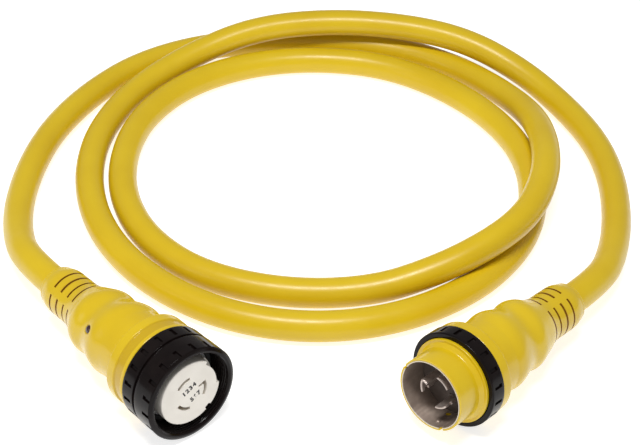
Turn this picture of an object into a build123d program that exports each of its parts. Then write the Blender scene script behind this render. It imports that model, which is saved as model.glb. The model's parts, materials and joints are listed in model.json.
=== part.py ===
"""Shore power cord, 125/250 V 50 A: a heavy cable with a moulded connector and a moulded plug.

Millimetres, +Z up. The origin is on the floor, under the middle of the two ends.
Each end is modelled standing on its cable entry (z = 0) with +z towards its mouth, x to the
right and y up for someone who looks into the mouth, and is then laid down at its place.
"""
import os
from math import cos, degrees, pi, radians, sin, tan

from build123d import *

# ---------------------------------------------------------------- cable
CABLE_D = 27.0            # outer diameter of the jacket
CORE_D = 7.2              # one insulated conductor
STRAND_D = 4.6            # its bare copper end
CORE_SPREAD_R = 6.0       # the four conductors lie on this circle in the jacket
JACKET_END_Z = 40.0       # the jacket reaches this far into a grip
STRAND_LENGTH = 14.0      # bare copper beyond it

# ---------------------------------------------------------------- fits
FIT = 0.1                 # radial clearance between pieces that never move
RUN_GAP = 0.3             # clearance round a ring that turns by hand
BLADE_GAP = 0.25          # clearance round a blade in its slot
CUT = 1.0                 # a cutting solid runs this far past the face it cuts

# ---------------------------------------------------------------- moulded grip, both ends
GRIP_LENGTH = 129.0       # cable entry to the rear of the flange
INSERT_DEPTH = 36.0       # from there back to the rear of the insert
CORE_END_GAP = 2.0        # a conductor's insulation ends this far short of the insert
RELIEF_END_R = 18.7
RELIEF_R = 20.9
RELIEF_FULL_Z = 13.0      # the relief has reached its full radius
RELIEF_TOP = 33.0         # it swells into the rear bulge from here
RELIEF_EDGE = 2.5         # rounding of the end that the cable leaves
REAR_SWELL_R = 23.7
REAR_SWELL_Z = 48.0
REAR_SHOULDER_R = 27.3
REAR_SHOULDER_Z = 57.0
REAR_BULGE_R = 30.5
REAR_BULGE_Z = 69.5
NECK_R = 29.3
NECK_Z = 78.0
FRONT_SWELL_R = 31.2
FRONT_SWELL_Z = 87.0
FRONT_BULGE_R = 33.9
FRONT_BULGE_Z = 99.5
BARREL_R = 32.6
BARREL_Z = 110.0          # the front bulge has settled into the barrel
GRIP_WALL_R = 24.0        # radius of the hollow round the conductors
GRIP_CONE = 18.0          # length over which the hollow opens up
RELIEF_SLOTS = 4          # rows of flexing slots
RELIEF_SLOT_Z = 18.2      # first row
RELIEF_SLOT_PITCH = 9.5
RELIEF_SLOT_W = 1.3
RELIEF_SLOT_DEPTH = 2.6
RELIEF_BAND = 19.0        # degrees of plain rib between the two sets of slots

# ---------------------------------------------------------------- insert and contact circle
INSERT_R = 27.0
PIN_SPREAD_R = 14.2       # line and neutral blades
BLADE_T = 2.0
BLADE_ARC = 51.0          # degrees of the contact circle that a blade covers
HOOK_LENGTH = 4.6         # inward leg of the neutral blade
POCKET_ARC = 3.0          # degrees that a contact's pocket is longer than its blade
GROUND_R = 19.5           # ground wire terminal
POST_R = 3.0
GROUND_POST_R = 2.4
CRIMP_R = 4.4
GROUND_CRIMP_R = 3.9
CRIMP_LENGTH = 18.0
CRIMP_WALL_END = 4.0      # solid metal beyond the crimp's bore
LINE_1_ANGLE, NEUTRAL_ANGLE, LINE_2_ANGLE, GROUND_ANGLE = 115.0, -7.0, -125.0, 45.0

# ---------------------------------------------------------------- connector (female end)
CONNECTOR_FLANGE = 22.2
CONNECTOR_FLANGE_SET = 0.8    # its front band lies this far inside the ring's outside
CONNECTOR_REAR_SET = 0.4      # the rear band is this much smaller than the front one
CONNECTOR_GROOVE_DEPTH = 1.2  # the groove lies this deep below the rear band
CONNECTOR_GROOVE_W = 10.0
CONNECTOR_BAND_W = 3.6    # front band of the flange
CORE_BARREL_SET = 0.8     # the barrel that the ring turns on is this much larger than the face
CORE_BARREL_L = 12.0
FACE_LENGTH = 21.5
FACE_WALL = 4.5           # thickness of the slotted front
RETAINER_T = 1.6
RETAINER_SEAT_DEPTH = 1.5 # its seat is this much smaller than the barrel
RETAINER_PROUD = 2.5      # and it stands this far out from the barrel
RING_GAP = 0.7            # flange to ring
RING_FRONT_PROUD = 0.3    # front band over the rear band
RING_LENGTH = 36.8
RING_REAR_BAND = 13.4
RING_GROOVE = 3.1
RING_GROOVE_DEPTH = 1.8
RING_MOUTH_T = 1.7        # slots' ends to the mouth
RING_MOUTH_SET = 2.7      # the mouth's edge lies this far inside the rear band
RING_THREAD_WALL = 5.2    # rear band's outside to the thread
RING_WEB_T = 6.5
RING_SKIRT_SET = 3.7      # rear band's outside to the skirt
SEAL_T = 2.0
SEAL_W = 3.4
CONTACT_T = 1.1
CONTACT_LENGTH = 17.0
CONTACT_BASE_T = 2.0
GROUND_STRAP_T = 2.9
GROUND_STRAP_W = 3.8
GROUND_TAB_ARC = 14.0
GROUND_FINGER_SET = 1.2   # the fingers lie this far inside the face
GROUND_FINGER_T = 1.4
GROUND_FINGER_L = 11.0
GROUND_FINGER_ARC = 8.0
GROUND_FINGERS = (42.0, -56.0)
KEY_ANGLES = (-9.0, 50.0) # the face's rim is cut back from the first to the second
KEY_DEPTH = 3.0
KEY_LENGTH = 10.8

# ---------------------------------------------------------------- plug (male end)
PLUG_FLANGE = 10.4
PLUG_FLANGE_SET = 1.0     # it lies this far inside the ring's outside
SLEEVE_BARREL_WALL = 3.7
SLEEVE_BARREL_L = 14.0
SLEEVE_STEP_H = 3.4       # the step stands this far out from the barrel
SLEEVE_STEP_T = 2.7
SLEEVE_NOSE_WALL = 1.7
SLEEVE_LENGTH = 41.8
SLEEVE_FILLET = 2.4
SHELL_T = 0.8
SHELL_R = 29.3            # both ends take their radii from it
SHELL_FLOOR_T = 1.0
SHELL_FLOOR_W = 5.3
SHELL_PROUD = 0.2         # the metal rim stands proud of the sleeve
INSERT_SHOULDER_T = 1.6
PLUG_FACE_T = 14.4
BLADE_TIP_DEPTH = 5.5     # below the rim
BLADE_FOOT_T = 2.0
BLADE_FOOT_W = 4.8
BLADE_FOOT_ARC = 4.0      # degrees that the foot is longer than its blade
LOCK_NOTCH_TIP = 3.0      # tip to the notch that locks a twisted blade
LOCK_NOTCH_L = 4.8
LOCK_NOTCH_ARC = 9.0      # degrees that the notch reaches into the blade
PLUG_RING_LENGTH = 14.2
PLUG_RING_GAP = 0.4
PLUG_RING_LIP_GAP = 0.6   # step to the ring's lip
PLUG_RING_WALL = 4.2
RIM_NOTCHES = (158.0, -60.0)
RIM_NOTCH_W = 4.0
RIM_NOTCH_DEPTH = 2.6
SHELL_HOLE_R = 2.4
SHELL_HOLE_DEPTH = 21.0
SHELL_DIMPLE_R = 2.2
SHELL_DIMPLE_DEPTH = 8.0
SHELL_MARK_ANGLE = -78.0  # hole and dimple

# ---------------------------------------------------------------- both locking rings
RING_SLOTS = 18
RING_SLOT_W = 3.0
RING_SLOT_L = 8.2
RING_SLOT_DEPTH = 1.6
RING_EDGE = 1.0

# ---------------------------------------------------------------- power light in the connector
LIGHT_BACK = 43.5         # behind the flange
LIGHT_ANGLE = 146.0
LENS_R = 3.4
LENS_PROUD = 0.6          # over the swell of the front bulge
LED_R = 2.5
LED_LENGTH = 5.5
BOARD_L, BOARD_W, BOARD_T = 12.0, 7.0, 1.2
BOARD_BACK = 3.5          # the board's middle lies this far behind the light
LEAD_R = 0.8
LEAD_SPREAD = 6.0         # degrees between the board's middle and each lead
LEAD_TURN = 15.0          # degrees that a lead lies beside the line 1 conductor
RESISTOR_R = 1.2
RESISTOR_L = 6.5

# ---------------------------------------------------------------- where the ends lie
CONNECTOR_EXIT = (-217.25, 76.1)
CONNECTOR_HEADING = -47.9     # degrees from +X, the way its mouth looks
CONNECTOR_TILT = 3.7          # its mouth looks up this much, because its ring lies on the floor
CONNECTOR_ROLL = 140.5        # place of the relief's plain rib
PLUG_EXIT = (216.7, 75.4)
PLUG_HEADING = -132.8
PLUG_TILT = 4.6
PLUG_ROLL = 72.8
CORD_LEAD = 50.0              # straight cable beyond a relief

# ---------------------------------------------------------------- route of the cable on the floor
FLOOR = CABLE_D / 2
ROUTE = [
    (-269, 163, 17.5), (-277, 221, FLOOR), (-273, 287, FLOOR), (-260, 344, FLOOR), (-234, 402, FLOOR),
    (-194, 457, FLOOR), (-136, 496, FLOOR), (-68, 514, FLOOR), (9, 517, FLOOR), (82, 506, FLOOR),
    (141, 475, FLOOR), (185, 429, 15), (211, 375, 24), (218, 322, 37), (217, 269, 44),
    (209, 226, 44.5), (191, 180, 44), (158, 140, 43), (110, 113, 31.5), (51, 99, 15.5),
    (-26, 95, FLOOR), (-101, 117, FLOOR), (-154, 166, FLOOR), (-183, 231, FLOOR), (-189, 300, FLOOR),
    (-176, 365, FLOOR), (-139, 424, FLOOR), (-80, 465, FLOOR), (-8, 482, FLOOR), (70, 472, FLOOR),
    (136, 428, FLOOR), (184, 367, FLOOR), (207, 299, FLOOR), (204, 223, FLOOR), (181, 161, FLOOR),
    (137, 106, FLOOR), (70, 64, FLOOR), (-8, 50, FLOOR), (-84, 67, FLOOR), (-150, 112, FLOOR),
    (-196, 176, FLOOR), (-219, 253, FLOOR), (-218, 333, FLOOR), (-190, 409, 15), (-138, 462, 25),
    (-71, 494, 41), (9, 508, 44.5), (88, 502, 44.5), (153, 481, 42), (210, 450, 26),
    (252, 399, 14.5), (276, 340, FLOOR), (284, 281, FLOOR), (281, 220, 14), (270, 164, 17),
]

# ---------------------------------------------------------------- sizes worked out from the above
SHELL_BORE_R = SHELL_R - SHELL_T
SLEEVE_NOSE_R = SHELL_R + SLEEVE_NOSE_WALL
SLEEVE_BARREL_R = SHELL_R + SLEEVE_BARREL_WALL
SLEEVE_STEP_R = SLEEVE_BARREL_R + SLEEVE_STEP_H
PLUG_RING_LIP_R = SLEEVE_STEP_R + PLUG_RING_LIP_GAP
RING_R = PLUG_RING_LIP_R + PLUG_RING_WALL
RING_FRONT_R = RING_R + RING_FRONT_PROUD
RING_THREAD_R = RING_R - RING_THREAD_WALL
RING_SKIRT_R = RING_R - RING_SKIRT_SET
PLUG_FLANGE_R = RING_R - PLUG_FLANGE_SET
CONNECTOR_FLANGE_FRONT_R = RING_R - CONNECTOR_FLANGE_SET
CONNECTOR_FLANGE_REAR_R = CONNECTOR_FLANGE_FRONT_R - CONNECTOR_REAR_SET
CONNECTOR_GROOVE_R = CONNECTOR_FLANGE_REAR_R - CONNECTOR_GROOVE_DEPTH
FACE_R = SHELL_BORE_R - RUN_GAP
CORE_BARREL_R = FACE_R + CORE_BARREL_SET
RETAINER_SEAT_R = CORE_BARREL_R - RETAINER_SEAT_DEPTH
RETAINER_R = CORE_BARREL_R + RETAINER_PROUD
GROUND_FINGER_R = FACE_R - GROUND_FINGER_SET
GROUND_STRAP_R = GROUND_FINGER_R - GROUND_STRAP_W
SHELL_FLOOR_R = SHELL_R - SHELL_FLOOR_W
INSERT_BACK = GRIP_LENGTH - INSERT_DEPTH
CORE_END_Z = INSERT_BACK - CORE_END_GAP
LIGHT_Z = GRIP_LENGTH - LIGHT_BACK
BOARD_Z = LIGHT_Z - BOARD_BACK
CORE_R = CORE_D / 2
STRAND_R = STRAND_D / 2
INSERT_SEAT_R = INSERT_R + FIT
CONNECTOR_FRONT = GRIP_LENGTH + CONNECTOR_FLANGE
PLUG_FRONT = GRIP_LENGTH + PLUG_FLANGE
CORE_BARREL_TOP = CONNECTOR_FRONT + CORE_BARREL_L
FACE_TOP = CORE_BARREL_TOP + RETAINER_T + FACE_LENGTH
RING_BACK = CONNECTOR_FRONT + RING_GAP
RING_TOP = RING_BACK + RING_LENGTH
RING_WEB_TOP = CORE_BARREL_TOP - RUN_GAP
PLUG_SHOULDER = PLUG_FRONT + INSERT_SHOULDER_T
SLEEVE_STEP = PLUG_FRONT + SLEEVE_BARREL_L
SLEEVE_TOP = PLUG_FRONT + SLEEVE_LENGTH
SHELL_TOP = SLEEVE_TOP + SHELL_PROUD
PLUG_FACE_BACK = PLUG_SHOULDER + SHELL_FLOOR_T
PLUG_FACE_TOP = PLUG_FACE_BACK + PLUG_FACE_T
CONNECTOR_ANGLES = {"line_1": LINE_1_ANGLE, "neutral": NEUTRAL_ANGLE, "line_2": LINE_2_ANGLE,
                    "ground": GROUND_ANGLE}
CONNECTOR_RIMS = [(RING_R, RING_BACK + RING_EDGE),
                  (RING_FRONT_R, RING_BACK + RING_REAR_BAND + RING_GROOVE),
                  (CONNECTOR_FLANGE_FRONT_R, CONNECTOR_FRONT - CONNECTOR_BAND_W),
                  (CONNECTOR_FLANGE_REAR_R, GRIP_LENGTH + RING_EDGE)]
PLUG_RIMS = [(RING_R, PLUG_FRONT + PLUG_RING_GAP + RING_EDGE),
             (PLUG_FLANGE_R, GRIP_LENGTH + 2 * RING_EDGE)]
CONNECTOR_CORES = {"line_1": 135.0, "neutral": -45.0, "line_2": -135.0, "ground": 45.0}
PLUG_ANGLES = {name: 180.0 - angle for name, angle in CONNECTOR_ANGLES.items()}
PLUG_CORES = {name: 180.0 - angle for name, angle in CONNECTOR_CORES.items()}
LINES = ("line_1", "neutral", "line_2")
HOOK_ANGLE = NEUTRAL_ANGLE + BLADE_ARC / 2 - degrees(BLADE_T / 2 / PIN_SPREAD_R)


# ---------------------------------------------------------------- small helpers
STANDING = (Align.CENTER, Align.CENTER, Align.MIN)


def polar(radius, angle, z=0.0):
    """Point at a radius and an angle in degrees round the axis."""
    return (radius * cos(radians(angle)), radius * sin(radians(angle)), z)


def turned(outline):
    """Solid turned from a closed outline of (radius, height) points."""
    points = [(radius, 0, height) for radius, height in outline]
    return revolve(make_face(Polyline(*points, close=True)), Axis.Z)


def tube(outer, inner, low, high):
    """Plain ring between two radii and two heights."""
    return turned([(inner, low), (outer, low), (outer, high), (inner, high)])


def rod(radius, low, high, at=(0, 0)):
    """Round rod along z."""
    return Pos(at[0], at[1], low) * Cylinder(radius, high - low, align=STANDING)


def sector(inner, outer, centre, arc, low, high):
    """Block that follows the circle: between two radii, over an arc about a centre angle."""
    start, end = centre - arc / 2, centre + arc / 2
    rim = ThreePointArc(polar(outer, start), polar(outer, centre), polar(outer, end))
    hub = ThreePointArc(polar(inner, end), polar(inner, centre), polar(inner, start))
    outline = make_face([rim, Line(rim @ 1, hub @ 0), hub, Line(hub @ 1, rim @ 0)])
    return Pos(0, 0, low) * extrude(outline, high - low, dir=(0, 0, 1))


def radial_rod(radius, inner, outer, angle, z):
    """Round rod that points away from the axis."""
    place = Plane(origin=polar(inner, angle, z), x_dir=(0, 0, 1), z_dir=polar(1, angle))
    return place * Cylinder(radius, outer - inner, align=STANDING)


def radial_box(width, length, inner, outer, angle, z):
    """Block across the axis: width round the circle, length along z, centred on z."""
    place = Plane(origin=polar(inner, angle, z), x_dir=(0, 0, 1), z_dir=polar(1, angle))
    return place * Box(length, width, outer - inner, align=STANDING)


def corner_radii(points):
    """Largest arcs that the runs allow: 0.45 of the shorter run over the tangent of half the turn."""
    vectors = [Vector(*point) for point in points]
    runs = [after - before for before, after in zip(vectors, vectors[1:])]
    radii = []
    for before, after in zip(runs, runs[1:]):
        half_turn = radians(before.get_angle(after)) / 2
        radii.append(0.45 * min(before.length, after.length) / tan(half_turn))
    return radii


def round_bar(points, radius, radii):
    """Round bar along straight runs joined by tangent arcs."""
    path = FilletPolyline(*points, radius=radii)
    start = Plane(origin=path @ 0, z_dir=path % 0)
    return sweep(start * Circle(radius), path=path), path.length


# ---------------------------------------------------------------- grip
def grip_outline(flange):
    """Outline of the moulded grip: relief, rear bulge, neck, front bulge, barrel and flange."""
    edge_middle = RELIEF_EDGE * (1 - sin(pi / 4))
    rounding = ThreePointArc((RELIEF_END_R - RELIEF_EDGE, 0, 0),
                             (RELIEF_END_R - edge_middle, 0, edge_middle),
                             (RELIEF_END_R, 0, RELIEF_EDGE))
    taper = Spline(rounding @ 1, (RELIEF_R, 0, RELIEF_FULL_Z),
                   tangents=[(RELIEF_EDGE, 0, RELIEF_FULL_Z), (0, 0, 1)])
    bulges = Spline((RELIEF_R, 0, RELIEF_TOP), (REAR_SWELL_R, 0, REAR_SWELL_Z),
                    (REAR_SHOULDER_R, 0, REAR_SHOULDER_Z), (REAR_BULGE_R, 0, REAR_BULGE_Z),
                    (NECK_R, 0, NECK_Z), (FRONT_SWELL_R, 0, FRONT_SWELL_Z),
                    (FRONT_BULGE_R, 0, FRONT_BULGE_Z), (BARREL_R, 0, BARREL_Z),
                    tangents=[(0, 0, 1), (0, 0, 1)])
    over_flange = Polyline(bulges @ 1, (BARREL_R, 0, GRIP_LENGTH),
                           *[(radius, 0, height) for radius, height in flange])
    back = Polyline(over_flange @ 1, (0, 0, flange[-1][1]), (0, 0, 0), rounding @ 0)
    return make_face([rounding, taper, Line(taper @ 1, bulges @ 0), bulges, over_flange, back])


def relief_slot_rings(roll):
    """Rows of slots that let the relief flex, in two sets with a plain rib between."""
    slots = []
    slope = (REAR_SWELL_R - RELIEF_R) / (REAR_SWELL_Z - RELIEF_TOP)
    for row in range(RELIEF_SLOTS):
        low = RELIEF_SLOT_Z + row * RELIEF_SLOT_PITCH - RELIEF_SLOT_W / 2
        bottom = RELIEF_R - RELIEF_SLOT_DEPTH + slope * max(0, low - RELIEF_TOP)
        for side in (90, -90):
            slots.append(sector(bottom, NECK_R, roll + side, 180 - RELIEF_BAND, low, low + RELIEF_SLOT_W))
    return slots


def grip(flange, roll):
    """Yellow overmoulding with its strain relief, hollow round the conductors and the insert."""
    front = flange[-1][1]
    body = revolve(grip_outline(flange), Axis.Z)
    jacket_r = CABLE_D / 2 + FIT
    cone_top = JACKET_END_Z + GRIP_CONE
    hollow = turned([(0, -CUT), (jacket_r, -CUT), (jacket_r, JACKET_END_Z), (GRIP_WALL_R, cone_top),
                     (GRIP_WALL_R, INSERT_BACK), (INSERT_SEAT_R, INSERT_BACK),
                     (INSERT_SEAT_R, front + CUT), (0, front + CUT)])
    return body - hollow - relief_slot_rings(roll)


def connector_grip():
    band = CONNECTOR_FRONT - CONNECTOR_BAND_W
    groove = band - CONNECTOR_GROOVE_W
    flange = [(CONNECTOR_FLANGE_REAR_R - RING_EDGE, GRIP_LENGTH),
              (CONNECTOR_FLANGE_REAR_R, GRIP_LENGTH + RING_EDGE),
              (CONNECTOR_FLANGE_REAR_R, groove), (CONNECTOR_GROOVE_R, groove + RING_EDGE),
              (CONNECTOR_GROOVE_R, band - RING_EDGE), (CONNECTOR_FLANGE_FRONT_R, band),
              (CONNECTOR_FLANGE_FRONT_R, CONNECTOR_FRONT - RING_EDGE),
              (CONNECTOR_FLANGE_FRONT_R - RING_EDGE, CONNECTOR_FRONT)]
    light_hole = radial_rod(LENS_R + FIT, GRIP_WALL_R - CUT, FRONT_BULGE_R + CUT, LIGHT_ANGLE, LIGHT_Z)
    return grip(flange, CONNECTOR_ROLL) - light_hole


def plug_grip():
    flange = [(PLUG_FLANGE_R - 2 * RING_EDGE, GRIP_LENGTH), (PLUG_FLANGE_R, GRIP_LENGTH + 2 * RING_EDGE),
              (PLUG_FLANGE_R, PLUG_FRONT - RING_EDGE), (PLUG_FLANGE_R - RING_EDGE, PLUG_FRONT)]
    return grip(flange, PLUG_ROLL)


# ---------------------------------------------------------------- conductors inside a grip
def jacket_end():
    """End of the cable's jacket in the grip, with the four conductors' channels."""
    channels = [rod(CORE_R + FIT, -CUT, JACKET_END_Z + CUT, polar(CORE_SPREAD_R, angle)[:2])
                for angle in CONNECTOR_CORES.values()]
    return rod(CABLE_D / 2, 0, JACKET_END_Z) - channels


def terminal_r(name):
    return GROUND_R if name == "ground" else PIN_SPREAD_R


def core(name, inner, outer):
    """One insulated conductor from its angle in the jacket to its crimp's, with its bare end."""
    out_r = terminal_r(name)
    points = [polar(CORE_SPREAD_R, inner, 0), polar(CORE_SPREAD_R, inner, JACKET_END_Z + CORE_R),
              polar(out_r, outer, CORE_END_Z - 2 * CORE_R), polar(out_r, outer, CORE_END_Z)]
    insulation, _ = round_bar(points, CORE_R, [2 * CORE_R, 2 * CORE_R])
    copper = rod(STRAND_R, CORE_END_Z, CORE_END_Z + STRAND_LENGTH, points[-1][:2])
    return insulation + copper


def post_radii(name):
    """Radii of a terminal's crimp barrel and of its post."""
    return (GROUND_CRIMP_R, GROUND_POST_R) if name == "ground" else (CRIMP_R, POST_R)


def crimped_post(name, angle, top):
    """Crimp barrel and the post that runs from it to the contact."""
    crimp_r, post_r = post_radii(name)
    at = polar(terminal_r(name), angle)[:2]
    crimp_top = INSERT_BACK + CRIMP_LENGTH
    barrel = rod(crimp_r, INSERT_BACK, crimp_top, at)
    bore = rod(STRAND_R + FIT / 2, INSERT_BACK - CUT, crimp_top - CRIMP_WALL_END, at)
    return barrel + rod(post_r, crimp_top, top, at) - bore


def insert(angles, outline):
    """Moulded insert that carries the crimps and posts."""
    body = turned([(0, INSERT_BACK), (INSERT_R, INSERT_BACK)] + outline)
    top = outline[-1][1]
    crimp_top = INSERT_BACK + CRIMP_LENGTH
    for name, angle in angles.items():
        crimp_r, post_r = post_radii(name)
        at = polar(terminal_r(name), angle)[:2]
        body -= rod(crimp_r + FIT, INSERT_BACK - CUT, crimp_top, at)
        body -= rod(post_r + FIT, crimp_top, top + CUT, at)
    return body


# ---------------------------------------------------------------- connector
def connector_insert():
    body = insert(CONNECTOR_ANGLES, [(INSERT_R, CONNECTOR_FRONT), (CORE_BARREL_R, CONNECTOR_FRONT),
                                     (CORE_BARREL_R, CORE_BARREL_TOP), (0, CORE_BARREL_TOP)])
    return body - ground_strap(FIT)


def ground_strap(clearance=0.0):
    """Strap in the insert's front that joins the two ground fingers to the ground post."""
    low = CORE_BARREL_TOP - GROUND_STRAP_T
    high = CORE_BARREL_TOP + 2 * clearance
    middle = (max(GROUND_FINGERS) + min(GROUND_FINGERS)) / 2
    arc = max(GROUND_FINGERS) - min(GROUND_FINGERS) + 2 * GROUND_FINGER_ARC + 4 * clearance
    strap = sector(GROUND_STRAP_R - clearance, GROUND_FINGER_R + clearance, middle, arc, low, high)
    tab = sector(GROUND_R - GROUND_POST_R - clearance, GROUND_STRAP_R + FIT, GROUND_ANGLE,
                 GROUND_TAB_ARC + 4 * clearance, low, high)
    return strap + tab


def ground_contact():
    """Strap, crimped post and the two spring fingers that meet the plug's shell."""
    body = crimped_post("ground", GROUND_ANGLE, CORE_BARREL_TOP - GROUND_STRAP_T) + ground_strap()
    for angle in GROUND_FINGERS:
        body += sector(GROUND_FINGER_R - GROUND_FINGER_T, GROUND_FINGER_R, angle, GROUND_FINGER_ARC,
                       CORE_BARREL_TOP, CORE_BARREL_TOP + GROUND_FINGER_L)
    return body


def spring_contact(name):
    """Crimped contact whose two leaves grip a curved blade."""
    angle = CONNECTOR_ANGLES[name]
    base_top = CORE_BARREL_TOP + CONTACT_BASE_T
    leaf_top = CORE_BARREL_TOP + CONTACT_LENGTH
    gap = BLADE_T / 2 + RUN_GAP
    outer = PIN_SPREAD_R + gap + CONTACT_T
    inner = PIN_SPREAD_R - gap - CONTACT_T
    body = crimped_post(name, angle, CORE_BARREL_TOP)
    body += sector(inner, outer, angle, BLADE_ARC, CORE_BARREL_TOP, base_top)
    body += sector(outer - CONTACT_T, outer, angle, BLADE_ARC, base_top, leaf_top)
    body += sector(inner, inner + CONTACT_T, angle - BLADE_ARC / 8, 0.75 * BLADE_ARC, base_top, leaf_top)
    return body


def hook(angle, thickness, low, high):
    """Inward leg at the upper end of the neutral blade, or the slot for it."""
    return sector(PIN_SPREAD_R - HOOK_LENGTH - thickness / 2, PIN_SPREAD_R, angle,
                  degrees(thickness / PIN_SPREAD_R), low, high)


def band(half_width, angle, arc, low, high):
    """Block that follows the contact circle, as wide on both sides of it."""
    return sector(PIN_SPREAD_R - half_width, PIN_SPREAD_R + half_width, angle, arc, low, high)


def connector_face():
    """Cream face: curved blade slots in front, a pocket behind each for its contact."""
    back = CORE_BARREL_TOP
    seat_top = back + RETAINER_T
    slot_low = FACE_TOP - FACE_WALL
    body = turned([(0, back), (RETAINER_SEAT_R, back), (RETAINER_SEAT_R, seat_top), (FACE_R, seat_top),
                   (FACE_R, FACE_TOP - RING_EDGE), (FACE_R - RING_EDGE, FACE_TOP), (0, FACE_TOP)])
    slot = BLADE_T / 2 + BLADE_GAP
    slot_arc = BLADE_ARC + degrees(2 * BLADE_GAP / PIN_SPREAD_R)
    pocket = BLADE_T / 2 + RUN_GAP + CONTACT_T + RUN_GAP
    for name in LINES:
        angle = CONNECTOR_ANGLES[name]
        body -= band(slot, angle, slot_arc, slot_low - CUT, FACE_TOP + CUT)
        body -= band(pocket, angle, BLADE_ARC + POCKET_ARC, back - CUT, slot_low)
    body -= hook(HOOK_ANGLE, 2 * slot, back - CUT, FACE_TOP + CUT)
    for angle in GROUND_FINGERS:
        body -= sector(GROUND_FINGER_R - GROUND_FINGER_T - RUN_GAP, FACE_R + CUT, angle,
                       GROUND_FINGER_ARC + POCKET_ARC, back - CUT, FACE_TOP + CUT)
    lower, upper = KEY_ANGLES
    return body - sector(FACE_R - KEY_DEPTH, FACE_R + CUT, (lower + upper) / 2, upper - lower,
                         FACE_TOP - KEY_LENGTH, FACE_TOP + CUT)


def ring_retainer():
    """Flat ring trapped behind the face, in front of the locking ring's web."""
    return tube(RETAINER_R, RETAINER_SEAT_R + FIT, CORE_BARREL_TOP, CORE_BARREL_TOP + RETAINER_T)


def ring_slots(radius, middle):
    """Finger slots round a locking ring."""
    return [radial_box(RING_SLOT_W, RING_SLOT_L, radius - RING_SLOT_DEPTH, radius + 2 * CUT,
                       index * 360 / RING_SLOTS, middle) for index in range(RING_SLOTS)]


def connector_locking_ring():
    """Threaded ring that draws the connector onto an inlet."""
    web_back = RING_WEB_TOP - RING_WEB_T
    bore = CORE_BARREL_R + RUN_GAP
    groove = RING_BACK + RING_REAR_BAND
    front_band = groove + RING_GROOVE
    mouth = RING_TOP - RING_MOUTH_T
    groove_r = RING_R - RING_GROOVE_DEPTH
    body = turned([(bore, web_back), (RING_SKIRT_R, web_back), (RING_SKIRT_R, RING_BACK),
                   (RING_R - RING_EDGE, RING_BACK), (RING_R, RING_BACK + RING_EDGE), (RING_R, groove),
                   (groove_r, groove + RING_EDGE / 2), (groove_r, front_band - RING_EDGE / 2),
                   (RING_FRONT_R, front_band), (RING_FRONT_R, mouth),
                   (RING_FRONT_R - RING_EDGE, (mouth + RING_TOP) / 2), (RING_R - RING_MOUTH_SET, RING_TOP),
                   (RING_THREAD_R + RING_EDGE, RING_TOP),
                   (RING_THREAD_R, RING_TOP - RING_EDGE), (RING_THREAD_R, RING_WEB_TOP),
                   (bore, RING_WEB_TOP)])
    rear_middle = RING_BACK + RING_REAR_BAND / 2
    front_middle = mouth - RING_SLOT_L / 2
    return body - ring_slots(RING_R, rear_middle) - ring_slots(RING_FRONT_R, front_middle)


def connector_seal():
    """Rubber washer on the web, where the inlet's rim lands."""
    outer = RING_THREAD_R - FIT
    return tube(outer, outer - SEAL_W, RING_WEB_TOP, RING_WEB_TOP + SEAL_T)


# ---------------------------------------------------------------- power light
def power_light_lens():
    return radial_rod(LENS_R, GRIP_WALL_R, FRONT_SWELL_R + LENS_PROUD, LIGHT_ANGLE, LIGHT_Z)


def power_light_led():
    return radial_rod(LED_R, GRIP_WALL_R - LED_LENGTH, GRIP_WALL_R, LIGHT_ANGLE, LIGHT_Z)


def power_light_board():
    outer = GRIP_WALL_R - LED_LENGTH
    return radial_box(BOARD_W, BOARD_L, outer - BOARD_T, outer, LIGHT_ANGLE, BOARD_Z)


def power_light_resistor():
    centre = GRIP_WALL_R - LED_LENGTH - BOARD_T - RESISTOR_R
    return rod(RESISTOR_R, BOARD_Z - RESISTOR_L / 2, BOARD_Z + RESISTOR_L / 2, polar(centre, LIGHT_ANGLE)[:2])


def power_light_leads():
    """Two thin leads from the board to the line 1 and the neutral crimps."""
    board_top = BOARD_Z + BOARD_L / 2
    start = GRIP_WALL_R - LED_LENGTH - BOARD_T / 2
    line_end = polar(PIN_SPREAD_R + CRIMP_R / 2, LINE_1_ANGLE + LEAD_TURN, INSERT_BACK)
    neutral_end = polar(PIN_SPREAD_R - CRIMP_R, NEUTRAL_ANGLE, INSERT_BACK)
    half = (board_top + INSERT_BACK) / 2
    leads = []
    for spread, end in ((-LEAD_SPREAD, line_end), (LEAD_SPREAD, neutral_end)):
        points = [polar(start, LIGHT_ANGLE + spread, board_top), polar(start, LIGHT_ANGLE + spread, half),
                  (end[0], end[1], half), end]
        leads.append(round_bar(points, LEAD_R, [LEAD_R, LEAD_R])[0])
    return leads


# ---------------------------------------------------------------- plug
def plug_insert():
    return insert(PLUG_ANGLES, [(INSERT_R, PLUG_FRONT), (SHELL_BORE_R - FIT, PLUG_FRONT),
                                (SHELL_BORE_R - FIT, PLUG_SHOULDER), (0, PLUG_SHOULDER)])


def rim_notches(high):
    """Keyways cut into the rim of the shell and its sleeve."""
    return [radial_box(RIM_NOTCH_W, 2 * RIM_NOTCH_DEPTH, SHELL_BORE_R - CUT, SLEEVE_NOSE_R + CUT, angle, high)
            for angle in RIM_NOTCHES]


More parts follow.
